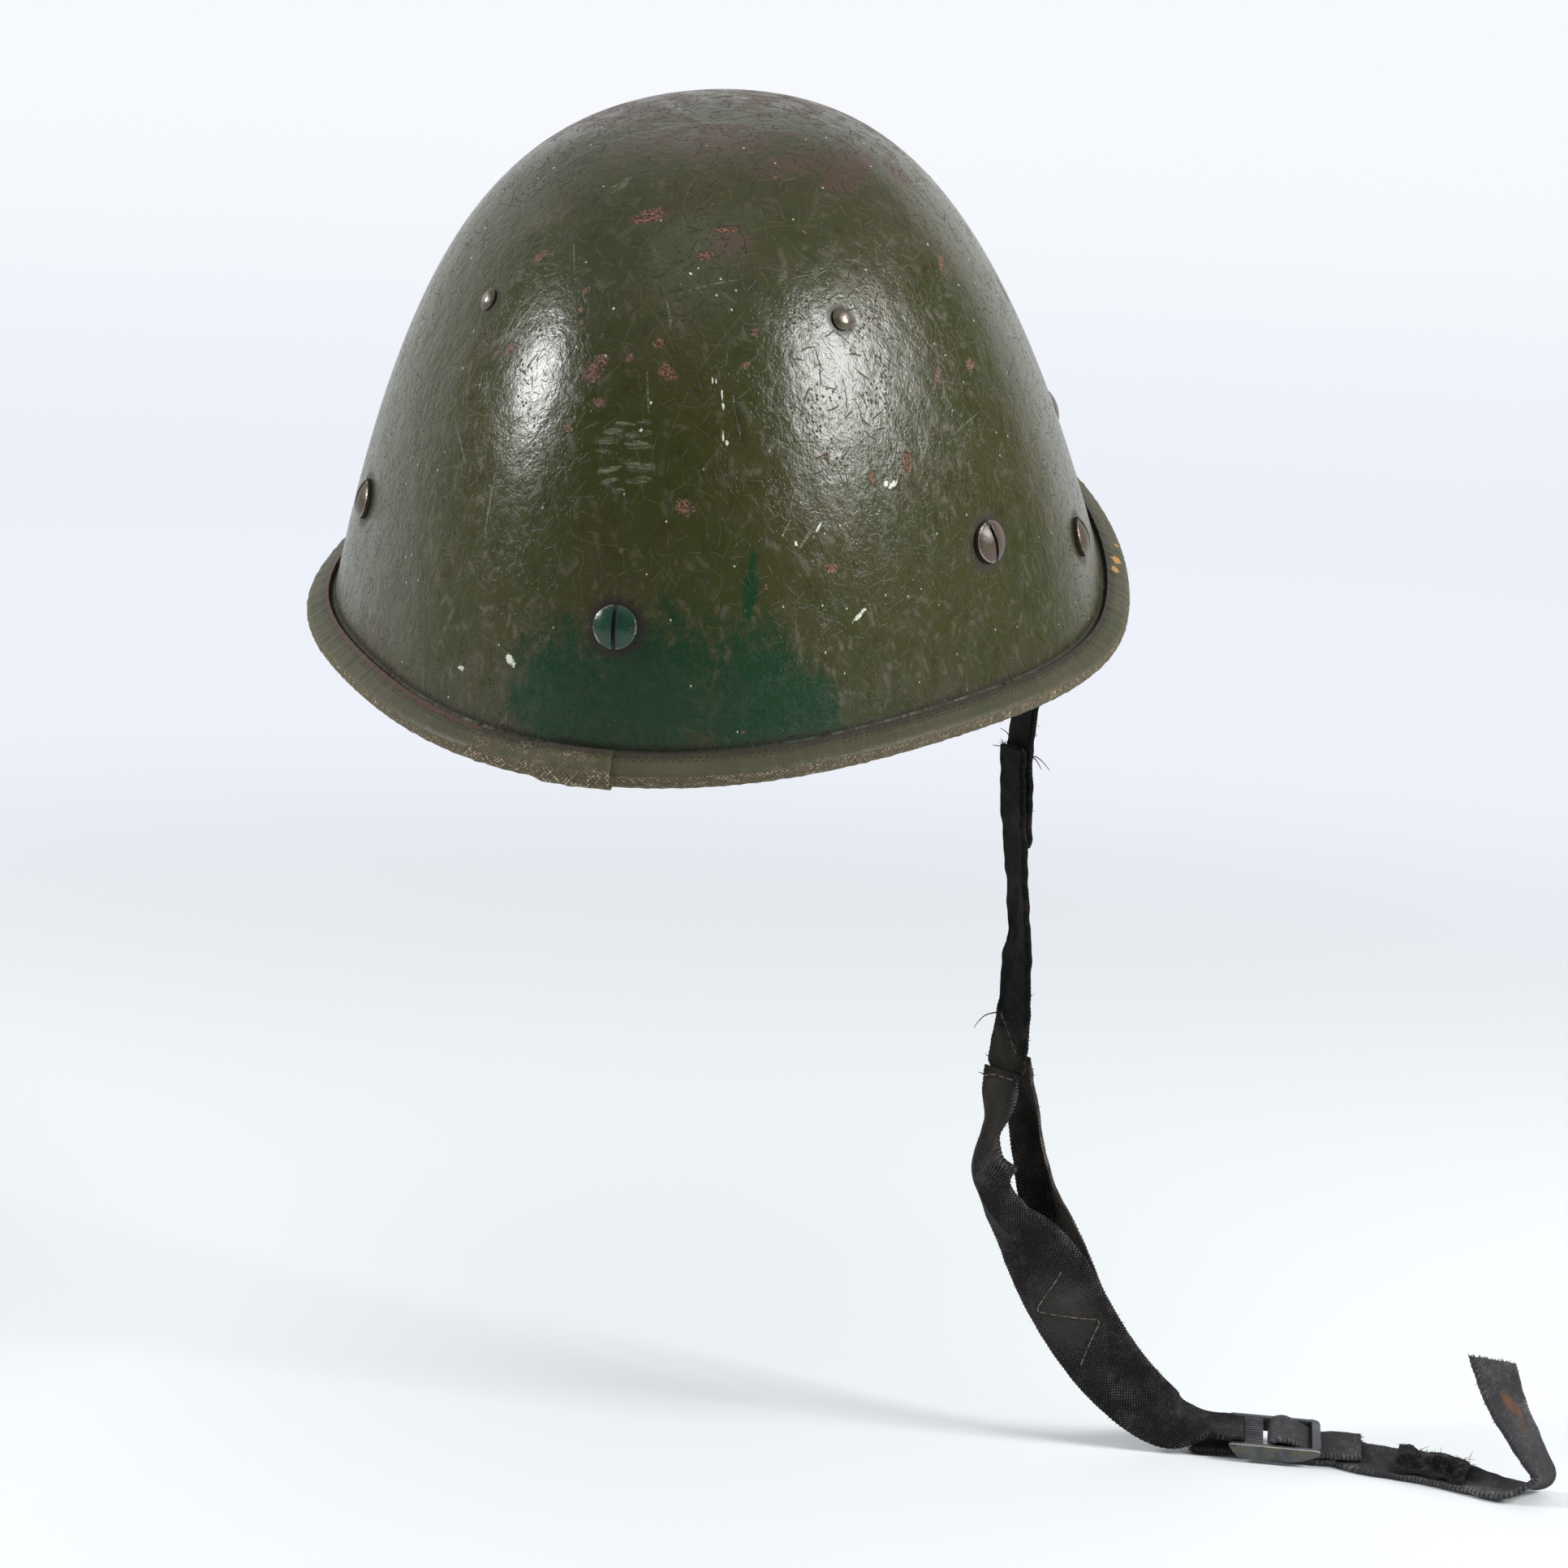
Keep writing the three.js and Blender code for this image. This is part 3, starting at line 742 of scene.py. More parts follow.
# %% Where the fasteners sit
# Turn in degrees from the front towards the wearer's left, and height in millimetres over the rim's root.
LINER_BOLTS = {
    "front": (0, 31), "left_front": (61, 28.5), "left_back": (124.5, 23.5),
    "back": (180, 31), "right_back": (-124.5, 23.5), "right_front": (-66.5, 25),
}
STRAP_BOLTS = {"left_strap": (90, 9), "right_strap": (-95.5, 9)}
RIVETS = {"left_front": (41, 95), "left_back": (139, 95), "right_back": (-139, 95), "right_front": (-41, 95)}
# Dark rings round the bolts and rivets: dirt and painted shade round each head.
DIRT_AND_SHADE_RINGS = [(*spot, 7.2, 7.2, 0) for spot in (LINER_BOLTS | STRAP_BOLTS).values()]
DIRT_AND_SHADE_RINGS += [(*spot, 4.0, 4.0, 0) for spot in RIVETS.values()]
print("fasteners:", len(DIRT_AND_SHADE_RINGS))

# %% Marks that the paint is drawn with
def strokes(finish, at, cell, length, width, filled, shift):
    """Short strokes at random, one to a filled cell of a random pattern: 1 on a stroke and 0 off it."""
    at = finish.vector("ADD", at, (shift, 2 * shift, 0))
    cells = finish.cells(at, cell)
    off = finish.vector("SUBTRACT", at, cells.other("Position"))
    chance = finish.chances(cells)
    x, y = finish.parts(off)
    turn = chance * (2 * math.pi)
    across_x = turn.wave()
    along_x = (turn + math.pi / 2).wave()
    along = abs(x * along_x + y * across_x)
    bend = (chance.other("Blue") - 0.5) * along * along * (0.9 / length)
    across = abs(y * along_x - x * across_x + bend)
    line = across.ramp(width, 0.25 * width)
    ends = along.ramp(0.5 * length, 0.3 * length)
    return line * ends * chance.other("Green").under(filled)


def spots(finish, at, table):
    """How far each point is from the nearest of some turned ovals, 1 being an oval's edge.

    An oval's place also waits for the ovals before it, by a length too small to see: the renderer keeps only
    a few hundred open numbers, and would otherwise start on all the ovals at once.
    """
    nearest = None
    for turn, height, half_width, half_height, tilt in table:
        facing, share = spot_on_shell(turn, height)
        drop = drop_along(facing, share)
        spread = float(drop[0] / np.linalg.norm(shell_point(facing, share)[0, :2]))
        middle = crown_map(facing, drop)[0]
        size = (half_width * MM * spread, half_height * MM, 1)
        centre = (*middle, 0.0)
        if nearest is not None:
            centre = finish.vector("MULTIPLY_ADD", nearest, (1e-9, 1e-9, 0), centre)
        local = finish.moved(at, centre, float(facing[0]) + math.radians(tilt), size)
        distance = finish.reach(local)
        nearest = distance if nearest is None else nearest.lower(distance)
    return nearest


# Turn in degrees and height in millimetres, half width and half height in millimetres, tilt in degrees.
CHIPS = [
    (-30.4, 109, 2.6, 2.2, 40), (-7.3, 90.2, 3.8, 2.6, 50), (-6.2, 92.5, 2.6, 1.8, 20),
    (5.3, 90.8, 2.9, 2.0, -20), (3.6, 96.9, 1.5, 1.5, 0), (-1.3, 93.6, 1.1, 1.5, 20),
    (-27.2, 88.5, 1.9, 1.9, 0), (-10.0, 76.3, 2.2, 1.0, -10), (-5.4, 83.3, 2.0, 1.2, 0),
    (60.6, 74.1, 2.6, 1.8, 30), (70.8, 72.5, 2.4, 1.9, 0), (47.2, 57.2, 2.2, 3.0, 20),
    (39.1, 56.7, 1.4, 2.2, 10), (78.9, 97.2, 3.0, 1.5, 20), (-13.0, 102.2, 1.2, 1.1, 0),
    (-13.1, 106.1, 1.4, 1.2, 0), (11.8, 114.3, 2.4, 1.8, 30), (17.7, 118.6, 3.4, 1.4, 10),
    (-3.6, 121.4, 4.6, 2.4, 30), (21.0, 97.3, 1.3, 1.6, 0), (18.9, 90.7, 1.5, 1.0, 20),
    (108.9, 74.8, 2.0, 5.0, 0), (29.2, 38.7, 2.0, 1.7, 0), (31.0, 66.0, 1.2, 0.9, 0),
    (-12.0, 99.5, 0.9, 0.8, 0), (8.4, 60.0, 2.6, 2.2, 0), (152, 84, 2.8, 2.2, 20),
    (-120, 70, 2.4, 3.2, 0), (-158, 104, 3.4, 2.0, 40), (171, 58, 2.0, 2.4, 0), (-94, 88, 2.2, 1.6, 0),
]
PALE_SCUFFS = [
    (-1.0, 79.0, 3.2, 0.7, 4), (2.4, 79.6, 2.2, 0.8, 6), (-2.6, 77.2, 2.4, 0.9, 8),
    (1.4, 76.9, 3.8, 1.1, 6), (-3.0, 74.9, 2.9, 1.0, 6), (1.6, 74.4, 4.0, 1.2, 2),
    (-3.6, 72.4, 2.6, 0.6, -4), (0.6, 70.2, 3.4, 0.5, 0), (2.2, 69.2, 3.8, 1.2, 6),
    (-2.4, 68.4, 3.6, 0.8, 12), (2.0, 66.4, 3.8, 0.9, 6), (-2.2, 65.8, 2.6, 0.8, 14),
    (-1.0, 63.6, 2.0, 0.7, 10), (-19.6, 125.2, 4.0, 0.8, 60), (-18.6, 124.6, 3.4, 0.6, 70),
    (-17.4, 125.0, 3.0, 0.6, 80), (26.0, 48.3, 4.6, 0.6, 40), (22.6, 51.0, 2.4, 0.4, 50),
    (12.6, 108.5, 9.0, 0.25, 18), (2.4, 86.0, 0.35, 6.0, 8), (5.0, 103.0, 0.4, 5.0, 14),
    (-33.0, 62.0, 7.0, 0.3, -35), (64.0, 60.0, 7.5, 0.25, 6), (-20.0, 112, 0.3, 6.0, 30),
    (-22.0, 52.0, 0.4, 8.0, 4), (140, 72, 8.0, 0.4, 20), (-150, 60, 0.4, 7.0, 12),
    (178, 90, 6.0, 0.4, -30),
]
DARK_SCRATCHES = [
    (-17.8, 91.8, 8.6, 0.45, -52), (-17.4, 92.6, 4.4, 0.9, 48), (-14.4, 87.0, 3.0, 0.3, -60),
    (-27.0, 83.5, 2.2, 0.4, 35), (16.6, 80.0, 0.4, 5.0, 8), (33.5, 98.0, 0.4, 4.0, 30),
    (27.0, 80.0, 3.0, 0.3, 20), (130, 90, 7.0, 0.4, 30),
]
WHITE_FLECKS = [
    (14.3, 84.6, 0.28, 1.9, 0), (14.4, 82.3, 0.3, 1.1, 4), (14.2, 75.6, 0.3, 1.8, 0),
    (14.7, 74.0, 0.6, 0.9, 0), (12.8, 88.2, 0.2, 1.0, 0), (13.4, 88.0, 0.2, 1.0, 0),
    (43.0, 53.4, 2.0, 0.9, 20), (41.6, 54.2, 0.9, 0.9, 0), (-22.1, 10.1, 1.8, 0.8, 0),
    (-14.0, 17.8, 2.1, 1.4, -30), (32.8, 24.9, 3.2, 0.7, 25), (27.8, 49.4, 2.2, 0.5, 45),
    (-6.0, 103.5, 0.4, 0.4, 0), (8.8, 111.0, 0.5, 0.5, 0), (10.4, 112.0, 0.4, 0.4, 0),
    (6.9, 109.0, 0.4, 0.3, 0), (1.8, 77.9, 0.5, 0.5, 0), (24.0, 47.2, 0.5, 0.8, 10),
    (3.0, 84.0, 0.3, 0.4, 0),
]
GREEN_PATCH = [
    (-6, 12, 17, 20, 0), (5, 14, 20, 21, 0), (17, 10, 16, 20, 8), (24, 3, 9, 12, 16),
    (17, 38, 1.7, 10, -14),
]
CROWN_RUBS = [
    (76, 122, 20, 7, 0), (97, 116, 9, 7, 0), (52, 126, 12, 5, 0), (18, 116, 8, 4, 10),
    (-4, 121, 6, 3, 20), (140, 120, 12, 6, 0),
]
print("placed marks:", len(CHIPS) + len(PALE_SCUFFS) + len(DARK_SCRATCHES) + len(WHITE_FLECKS))

# %% Shell paint
def shell_paint():
    paint = Finish("olive_gloss_paint", {"Specular IOR Level": 0.41, "IOR": 1.5})
    at = paint.map("crown_map")
    inner = paint.attribute("inside")
    above = paint.node("SeparateXYZ", {}, {"Vector": paint.place()}).other("Z")
    low = above.ramp(0.03, -0.05)
    root = paint.attribute("root")

    broad = paint.noise(at, 0.050, 4)
    flakes = paint.noise(at, 0.0075, 5, 0.65)
    wrinkle = paint.noise(at, 0.0022, 3, 0.6)
    grain = paint.noise(at, 0.0008, 2)
    stir = paint.vector("SUBTRACT", wrinkle.other("Color"), (0.5, 0.5, 0.5))
    wavy = paint.vector("MULTIPLY_ADD", stir, (0.0005, 0.0005, 0), at)
    fibres = strokes(paint, wavy, 0.0026, 0.0036, 0.00022, 0.80, 0.31)
    cracks = strokes(paint, wavy, 0.0052, 0.0062, 0.00026, 0.60, 0.77)
    scratches = strokes(paint, at, 0.0050, 0.0075, 0.00022, 0.60, 1.43)
    long_scratches = strokes(paint, wavy, 0.0200, 0.0300, 0.00024, 0.55, 2.21)
    feathers = strokes(paint, at, 0.0056, 0.0080, 0.00140, 0.55, 3.07) * flakes.ramp(0.46, 0.56)
    pit = paint.cells(wavy, 0.0024).ramp(0.22, 0.10) * paint.noise(at, 0.012, 2).ramp(0.48, 0.62)

    ragged = paint.noise(at, 0.0020, 4, 0.75).swing(2.4)
    chip = (spots(paint, at, CHIPS) + ragged * 1.35 + 0.05).ramp(1.02, 0.88)
    fleck = (spots(paint, at, WHITE_FLECKS) + ragged * 1.2 + 0.12).ramp(1.02, 0.84)
    scuff = (spots(paint, at, PALE_SCUFFS) + ragged * 0.9).ramp(1.10, 0.75)
    scratch = (spots(paint, at, DARK_SCRATCHES) + ragged * 0.3).ramp(1.10, 0.85)
    streak = paint.noise(paint.moved(at, (0, 0, 0), 0.0, (0.0080, 0.0006, 1)), 1.0, 3).ramp(0.40, 0.62)
    brushed = broad.swing(1.1) + flakes.swing(1.6) + wrinkle.swing(1.1)
    patch = (spots(paint, at, GREEN_PATCH) + brushed).ramp(1.32, 0.62)
    # Dirt and painted shade in a ring round each fastener's head.
    ring = (spots(paint, at, DIRT_AND_SHADE_RINGS) + flakes.swing(0.5)).ramp(1.35, 0.95)

    crumbs = paint.cells(at, 0.013)
    luck = paint.chances(crumbs)
    small_chip = (crumbs + ragged * 0.06).ramp(0.062, 0.040) * luck.under(0.09)
    dots = paint.cells(at, 0.0050)
    dot_luck = paint.chances(dots)
    dot = (dots + ragged * 0.05).ramp(0.08, 0.04) * dot_luck.under(0.05)
    up = above.ramp(0.085, 0.135)
    rubbed = (up * 0.9 + broad.swing(1.3) + flakes.swing(1.6)).ramp(0.60, 0.95) * up.ramp(0.0, 0.4)
    worn_place = spots(paint, at, CROWN_RUBS) + flakes.swing(2.4) + wrinkle.swing(1.4)
    rubbed = rubbed.higher(worn_place.ramp(1.10, 0.50))
    # Dirt and painted shade along the rim's root, in the corner where the wall meets the rim.
    grime_and_shade = (root + flakes.swing(0.9) + wrinkle.swing(0.6)).ramp(0.35, 0.95)
    dirt = (low * 0.8 + flakes.swing(1.2) + (broad - 0.5)).ramp(0.45, 1.0)

    paint.colour = paint.mix(broad.ramp(0.35, 0.65), srgb(52, 57, 20), srgb(60, 58, 25))
    paint.coat(flakes.ramp(0.50, 0.72) * 0.42, srgb(74, 72, 54))
    paint.coat(flakes.ramp(0.46, 0.30) * 0.5, srgb(42, 36, 18))
    paint.coat(feathers * (0.22 + low * 0.3), srgb(100, 90, 74))
    paint.coat(dirt * 0.32, srgb(52, 42, 29))
    paint.coat(patch * 0.92, srgb(6, 52, 23))
    paint.coat(rubbed * 0.7, srgb(80, 59, 47))
    paint.coat(scratches.higher(long_scratches) * (0.22 - patch * 0.17), srgb(112, 114, 88))
    paint.coat(scuff * streak * 0.6, srgb(122, 130, 106))
    paint.coat(scratch * 0.8, srgb(44, 44, 36))
    rust = paint.mix(grain.ramp(0.40, 0.66), srgb(56, 36, 24), srgb(136, 98, 72))
    paint.coat(chip.higher(small_chip), rust)
    paint.coat(fleck.higher(dot * 0.8), srgb(212, 216, 198))
    paint.coat(cracks.higher(fibres * 0.55).higher(pit) * 0.70, srgb(22, 20, 12))
    # Painted shade and dirt round the fasteners and along the rim's root.
    paint.coat((ring * 0.75).higher(grime_and_shade * 0.60), srgb(34, 26, 16))
    mould = paint.noise(paint.place(), 0.018, 5, 0.6)
    paint.coat(inner, paint.mix(mould.ramp(0.3, 0.7), srgb(66, 62, 44), srgb(90, 82, 60)))

    dull = 0.23 + flakes.swing(0.16) + scratches * 0.12 + scuff * 0.3 + chip * 0.35 + dirt * 0.2
    dull = dull + feathers * 0.12 + ring * 0.2 + cracks * 0.35 + pit * 0.40 + fibres * 0.15
    dull = dull + rubbed * 0.15 + inner * 0.4 + grime_and_shade * 0.3
    paint.give({"Base Color": paint.colour, "Roughness": dull.lower(1.0)})
    bumps = grain.swing(0.03) + wrinkle.swing(0.085) + flakes.swing(0.28) + broad.swing(0.9)
    bumps = bumps - fibres * 0.010 - cracks * 0.028 - scratch * 0.08 - pit * 0.06
    bumps = bumps - chip.higher(small_chip) * 0.14 + fleck * 0.05
    paint.relief(bumps * (1 - inner) + (mould - 0.5) * inner * 0.5)
    return paint.material


settle(shell, shell_paint(), "shell_paint", "shell", smooth=50)

# %% [markdown]
# ## The canvas edge
# A canvas tape is folded over the rim and painted with it. Its end laps over its start at the front, the
# outer fold is worn down to bare threads, and two broken rows of its twill show. It is a long flat grid that
# is wrapped round the rim's own section; a swept curve would twist where the rim dips at the ears.

# %% Edge binding
TAPE, TAPE_CLEAR = 0.0010, 0.0003
TAPE_TOP_INSET, TAPE_UNDER_INSET = 0.0015, -0.0010
TAPE_LENGTH = 0.84
LAP_TURN, LAP_LENGTH, LAP_RISE = math.radians(0.6), math.radians(7), 0.03
TAPE_STEPS, TAPE_COLUMNS = 900, 22
RIPPLE, RIPPLE_WAVES, RIPPLE_PITCH = 0.000045, 14, 40


def flat_grid(name, columns, rows):
    """A grid primitive, and the column and row of each of its vertices."""
    bpy.ops.mesh.primitive_grid_add(x_subdivisions=columns, y_subdivisions=rows, size=2)
    piece = named(name)
    flat = points_of(piece)
    column, row = (np.unique(np.round(flat[:, k], 6), return_inverse=True)[1] for k in (0, 1))
    return piece, column.ravel(), row.ravel()


def tape_section(lift):
    """(along, lift) across the tape, from its edge on top, round the tip, to its edge underneath."""
    top = [(TAPE_TOP_INSET, lift)]
    under = [(TAPE_UNDER_INSET, -RIM_THICKNESS - lift)]
    return np.array(top + rim_tip(lift, 10) + under)


def across_tape(columns):
    """The outer face's section at even steps of its width."""
    corners = tape_section(TAPE_CLEAR + TAPE)
    walked = walked_along(corners)
    even = np.linspace(0, walked[-1], columns + 1)
    return even, np.stack([np.interp(even, walked, corners[:, k]) for k in (0, 1)], axis=-1)


binding, column, row = flat_grid("canvas_binding", TAPE_COLUMNS, TAPE_STEPS)
width_at, section_at = across_tape(column.max())
walk = row / row.max()
round_rim = walk * (2 * math.pi + LAP_LENGTH)
turns = LAP_TURN - LAP_LENGTH + round_rim
lap = eased(np.clip((round_rim - 2 * math.pi + LAP_RISE) / LAP_RISE, 0, 1))
waves = np.random.default_rng(5)
ripple = np.zeros(len(turns))
for _ in range(RIPPLE_WAVES):
    pitch, phase, skew = waves.uniform(25, 260), waves.uniform(0, 2 * math.pi), waves.uniform(-0.4, 0.4)
    ripple += RIPPLE * (RIPPLE_PITCH / pitch) ** 0.5 * np.sin(turns * pitch + phase + column * skew)
along, lift = section_at[column].T
outward = unit(np.stack([np.maximum(along - RIM_REACH, 0), lift + RIM_THICKNESS / 2], axis=-1))
raised = (lap * TAPE * 0.9 + ripple)[:, None]
along, lift = (section_at[column] + outward * raised).T
put_points(binding, leaned(rim_point(turns, along, lift)))
lay_map(binding, "tape_map", np.stack([walk * TAPE_LENGTH, width_at[column]], axis=-1))
thick = binding.modifiers.new("thickness", "SOLIDIFY")
thick.thickness = TAPE
thick.offset = -1
finish_modifiers(binding)
print("tape width:", round(float(width_at[-1]) * 1000, 1), "mm")

# %% Painted canvas
# Length along the tape and across it in metres, half length and half width in millimetres.
YELLOW_CHIPS = [(0.2584, 0.0040, 2.6, 2.0), (0.2510, 0.0030, 2.4, 1.6), (0.2699, 0.0057, 1.2, 0.9)]
TWILL_WARP, TWILL_WEFT = 0.0010, 0.0012


def painted_canvas():
    cloth = Finish("painted_canvas", {"Specular IOR Level": 0.35})
    at = cloth.map("tape_map")
    length, width = cloth.parts(at)
    blotch = cloth.noise(at, 0.020, 4)
    tear = cloth.noise(at, 0.0045, 4, 0.65)
    speck = cloth.noise(at, 0.0011, 3, 0.7)
    start = length.ramp(0.8005, 0.8020)
    warp = (length * (2 * math.pi / TWILL_WARP) + width * (2 * math.pi / TWILL_WARP)).wave()
    weft = (length * (2 * math.pi / TWILL_WEFT) - width * (2 * math.pi / TWILL_WARP)).wave()
    twill = warp.higher(weft * 0.8)

    fold = (width.ramp(0.0066, 0.0080) * width.ramp(0.0150, 0.0130)).lower(1.0)
    bare = (start * 0.6 + fold * 0.90 + blotch.swing(1.4) + tear.swing(0.9)).ramp(0.40, 0.80)
    frayed = (fold * 0.42 + start * 0.25 + tear.swing(1.8) + blotch.swing(0.9)).ramp(0.54, 0.72)
    crumb = (speck * 0.8 + twill * 0.16).ramp(0.50, 0.62) * (bare * 0.75 + frayed)
    line = abs(width - 0.0014).ramp(0.00034, 0.00012).higher(abs(width - 0.0025).ramp(0.00030, 0.00010))
    dashes = line * (length * (2 * math.pi / 0.0019) + width * 2600).wave().ramp(-0.3, 0.3)
    dashes = dashes * tear.ramp(0.44, 0.56)
    # Dirt and painted shade along the tape's top edge, in the corner at the rim's root.
    grime_and_shade = (width + tear.swing(0.0060)).ramp(0.0034, 0.0004)
    rusty = (width + tear.swing(0.0016)).ramp(0.0022, 0.0008)
    rusty = rusty * length.ramp(0.60, 0.64) * start.ramp(1.0, 0.0)
    # Painted shade: the tape's underside, under the rim, is darker.
    shade_beneath = width.ramp(0.0125, 0.0140)
    ovals = None
    for along_tape, across_it, half_length, half_width in YELLOW_CHIPS:
        size = (half_length * MM, half_width * MM, 1)
        gap = cloth.reach(cloth.moved(at, (along_tape, across_it, 0), 0.0, size))
        ovals = gap if ovals is None else ovals.lower(gap)
    yellow = (ovals + speck.swing(1.6)).ramp(0.95, 0.75)

    cloth.colour = cloth.mix(blotch.ramp(0.35, 0.65), srgb(66, 67, 40), srgb(76, 73, 50))
    cloth.coat(bare * 0.75, cloth.mix(tear, srgb(74, 64, 48), srgb(104, 94, 74)))
    cloth.coat(dashes * 0.55, srgb(24, 20, 14))
    pale = cloth.mix(tear.ramp(0.4, 0.6), srgb(150, 134, 106), srgb(198, 186, 156))
    cloth.coat(crumb * 0.65, pale)
    cloth.coat(grime_and_shade * 0.80, srgb(40, 31, 21))
    cloth.coat(rusty * 0.45, srgb(98, 62, 38))
    cloth.coat(yellow, srgb(186, 134, 66))
    cloth.coat(shade_beneath * 0.5, srgb(58, 54, 40))
    cloth.give({"Base Color": cloth.colour, "Roughness": (0.48 + bare * 0.3 + frayed * 0.3).lower(0.95)})
    weave = (bare * 0.8 + frayed + 0.15).lower(1.0)
    rough = twill * weave * 0.10 + (speck - 0.5) * (0.10 + weave * 0.25)
    rough = rough + tear.swing(0.25) + blotch.swing(0.4)
    cloth.relief(rough - dashes * 0.20 - yellow * 0.10)
    return cloth.material


settle(binding, painted_canvas(), "binding_canvas", "edge_binding", smooth=60)

# %% [markdown]
# ## Bolts and rivets
# Slotted bolts with low round heads hold the lining and the strap, and four small rivets sit higher up. A
# head starts as a sphere that is cut to a low cap; its edge is drawn down, in to the shank and through the
# wall, and the slot is cut with a boolean. One bolt and one rivet are modelled, and the others are copies.

# %% Model one bolt and one rivet
BOLT_RADIUS, BOLT_HEIGHT, BOLT_EDGE, BOLT_SHANK, BOLT_END = 0.0060, 0.0026, 0.0009, 0.0025, -0.0122
SLOT_WIDTH, SLOT_DEPTH = 0.0011, 0.0012
RIVET_RADIUS, RIVET_HEIGHT, RIVET_EDGE, RIVET_SHANK = 0.0032, 0.0015, 0.0003, 0.0015
RIVET_FOOT, RIVET_FOOT_SPREAD, RIVET_FOOT_DEPTH = -0.0067, 2.0, 0.001
HEAD_LIFT = 0.0003


def round_head(name, radius, height, edge, shank):
    """A cap of a sphere on a short upright edge, drawn in to the shank; the shank's ring stays picked."""
    cap = height - edge
    ball = (radius**2 + cap**2) / (2 * cap)
    bpy.ops.mesh.primitive_uv_sphere_add(segments=48, ring_count=72, radius=ball)
    piece = named(name)
    edit(piece, "EDGE")
    bpy.ops.mesh.select_all(action="SELECT")
    bpy.ops.mesh.bisect(plane_co=(0, 0, ball - cap), plane_no=(0, 0, 1), clear_inner=True, threshold=1e-7)
    bpy.ops.mesh.select_all(action="SELECT")
    bpy.ops.transform.translate(value=(0, 0, height - ball))
    pick_open_edge()
    extrude_edges(-edge - HEAD_LIFT)
    extrude_edges(0, shank / radius)
    return piece


bolt = round_head("bolt_pattern", BOLT_RADIUS, BOLT_HEIGHT, BOLT_EDGE, BOLT_SHANK)
extrude_edges(BOLT_END + HEAD_LIFT)
leave()
close_up(bolt)
bpy.ops.mesh.primitive_cube_add(size=1, location=(0, 0, BOLT_HEIGHT))
slot_cutter = named("slot_cutter")
slot_cutter.scale = (SLOT_WIDTH, 3 * BOLT_RADIUS, 2 * SLOT_DEPTH)
bpy.ops.object.transform_apply(location=True, rotation=True, scale=True)
cut = bolt.modifiers.new("slot", "BOOLEAN")
cut.object = slot_cutter
cut.operation = "DIFFERENCE"
soften(bolt, 0.00016, 2, 35)
bpy.data.objects.remove(slot_cutter)

rivet = round_head("rivet_pattern", RIVET_RADIUS, RIVET_HEIGHT, RIVET_EDGE, RIVET_SHANK)
extrude_edges(RIVET_FOOT + HEAD_LIFT)
extrude_edges(0, RIVET_FOOT_SPREAD)
extrude_edges(-RIVET_FOOT_DEPTH)
leave()
close_up(rivet)
print("bolt faces:", len(bolt.data.polygons), "rivet faces:", len(rivet.data.polygons))

# %% Worn steel, and the green bolt at the front
def worn_steel(name, paint_colour, dark_colour, bright_middle, bareness, gloss):
    steel = Finish(name, {"Specular IOR Level": 0.5})
    place = steel.place()
    x, y = steel.parts(steel.map("head_map"))
    out = (x * x + y * y).root()
    stain = steel.noise(place, 0.0035, 4, 0.65)
    grain = steel.noise(place, 0.0007, 3, 0.6)
    lines = steel.noise(steel.moved(place, (0, 0, 0), 0.6, (0.004, 0.0004, 0.002)), 1.0, 2)
    middle = out.ramp(0.75, 0.25) * bright_middle
    rim = out.ramp(0.90, 0.95) * out.ramp(1.000, 0.992)
    bare = stain.swing(1.6) + grain.swing(0.8) + bareness + middle + rim * 0.35
    bare = bare.ramp(0.45, 0.75)
    steel.colour = steel.mix(stain.ramp(0.40, 0.65), paint_colour, dark_colour)
    steel.coat(bare, steel.mix(lines, srgb(112, 98, 84), srgb(186, 174, 160)))
    # Painted shade: the slot and the head's upright edge, where it stands off the wall, are painted near black.
    slot_and_edge_shade = out.ramp(0.994, 1.0).higher(abs(x).ramp(0.112, 0.088) * (1 - bright_middle))
    steel.coat(slot_and_edge_shade, srgb(10, 8, 6))
    steel.give({
        "Base Color": steel.colour,
        "Metallic": bare * 0.9 * (1 - slot_and_edge_shade),
        "Roughness": gloss - bare * 0.06 + grain.swing(0.2) + slot_and_edge_shade * 0.4,
    })
    steel.relief(stain.swing(0.10) + grain.swing(0.05) + lines.swing(0.03))
    return steel.material


bolt_steel = worn_steel("bolt_steel", srgb(78, 68, 52), srgb(74, 54, 42), 0.0, 0.26, 0.34)
rivet_steel = worn_steel("rivet_steel", srgb(84, 78, 60), srgb(70, 58, 42), 1.0, 0.10, 0.36)
front_bolt_green = worn_steel("front_bolt_green", srgb(22, 62, 44), srgb(18, 48, 35), 0.0, 0.16, 0.26)


def nut_steel():
    steel = Finish("nut_steel", {"Specular IOR Level": 0.5})
    stain = steel.noise(steel.place(), 0.004, 5, 0.65)
    steel.colour = steel.mix(stain.ramp(0.35, 0.65), srgb(92, 86, 74), srgb(66, 50, 38))
    clean = stain.ramp(0.6, 0.4)
    steel.give({"Base Color": steel.colour, "Metallic": clean * 0.8, "Roughness": 0.35 + stain * 0.4})
    steel.relief(stain.swing(0.15))
    return steel.material


print("steel finishes:", bolt_steel.name, rivet_steel.name, front_bolt_green.name)

# %% Copy the heads to their places
CLAMPED = 0.0024


def on_shell(turn, height):
    """Where a fastener goes: its own Z out of the shell and its own Y up the wall."""
    facing, share = spot_on_shell(turn, height)
    out = Vector(shell_normal(facing, share)[0])
    side = Vector((0, 0, 1)).cross(out).normalized()
    axes = Matrix((side, out.cross(side), out)).transposed().to_4x4()
    return LEAN @ Matrix.Translation(Vector(shell_point(facing, share)[0])) @ axes


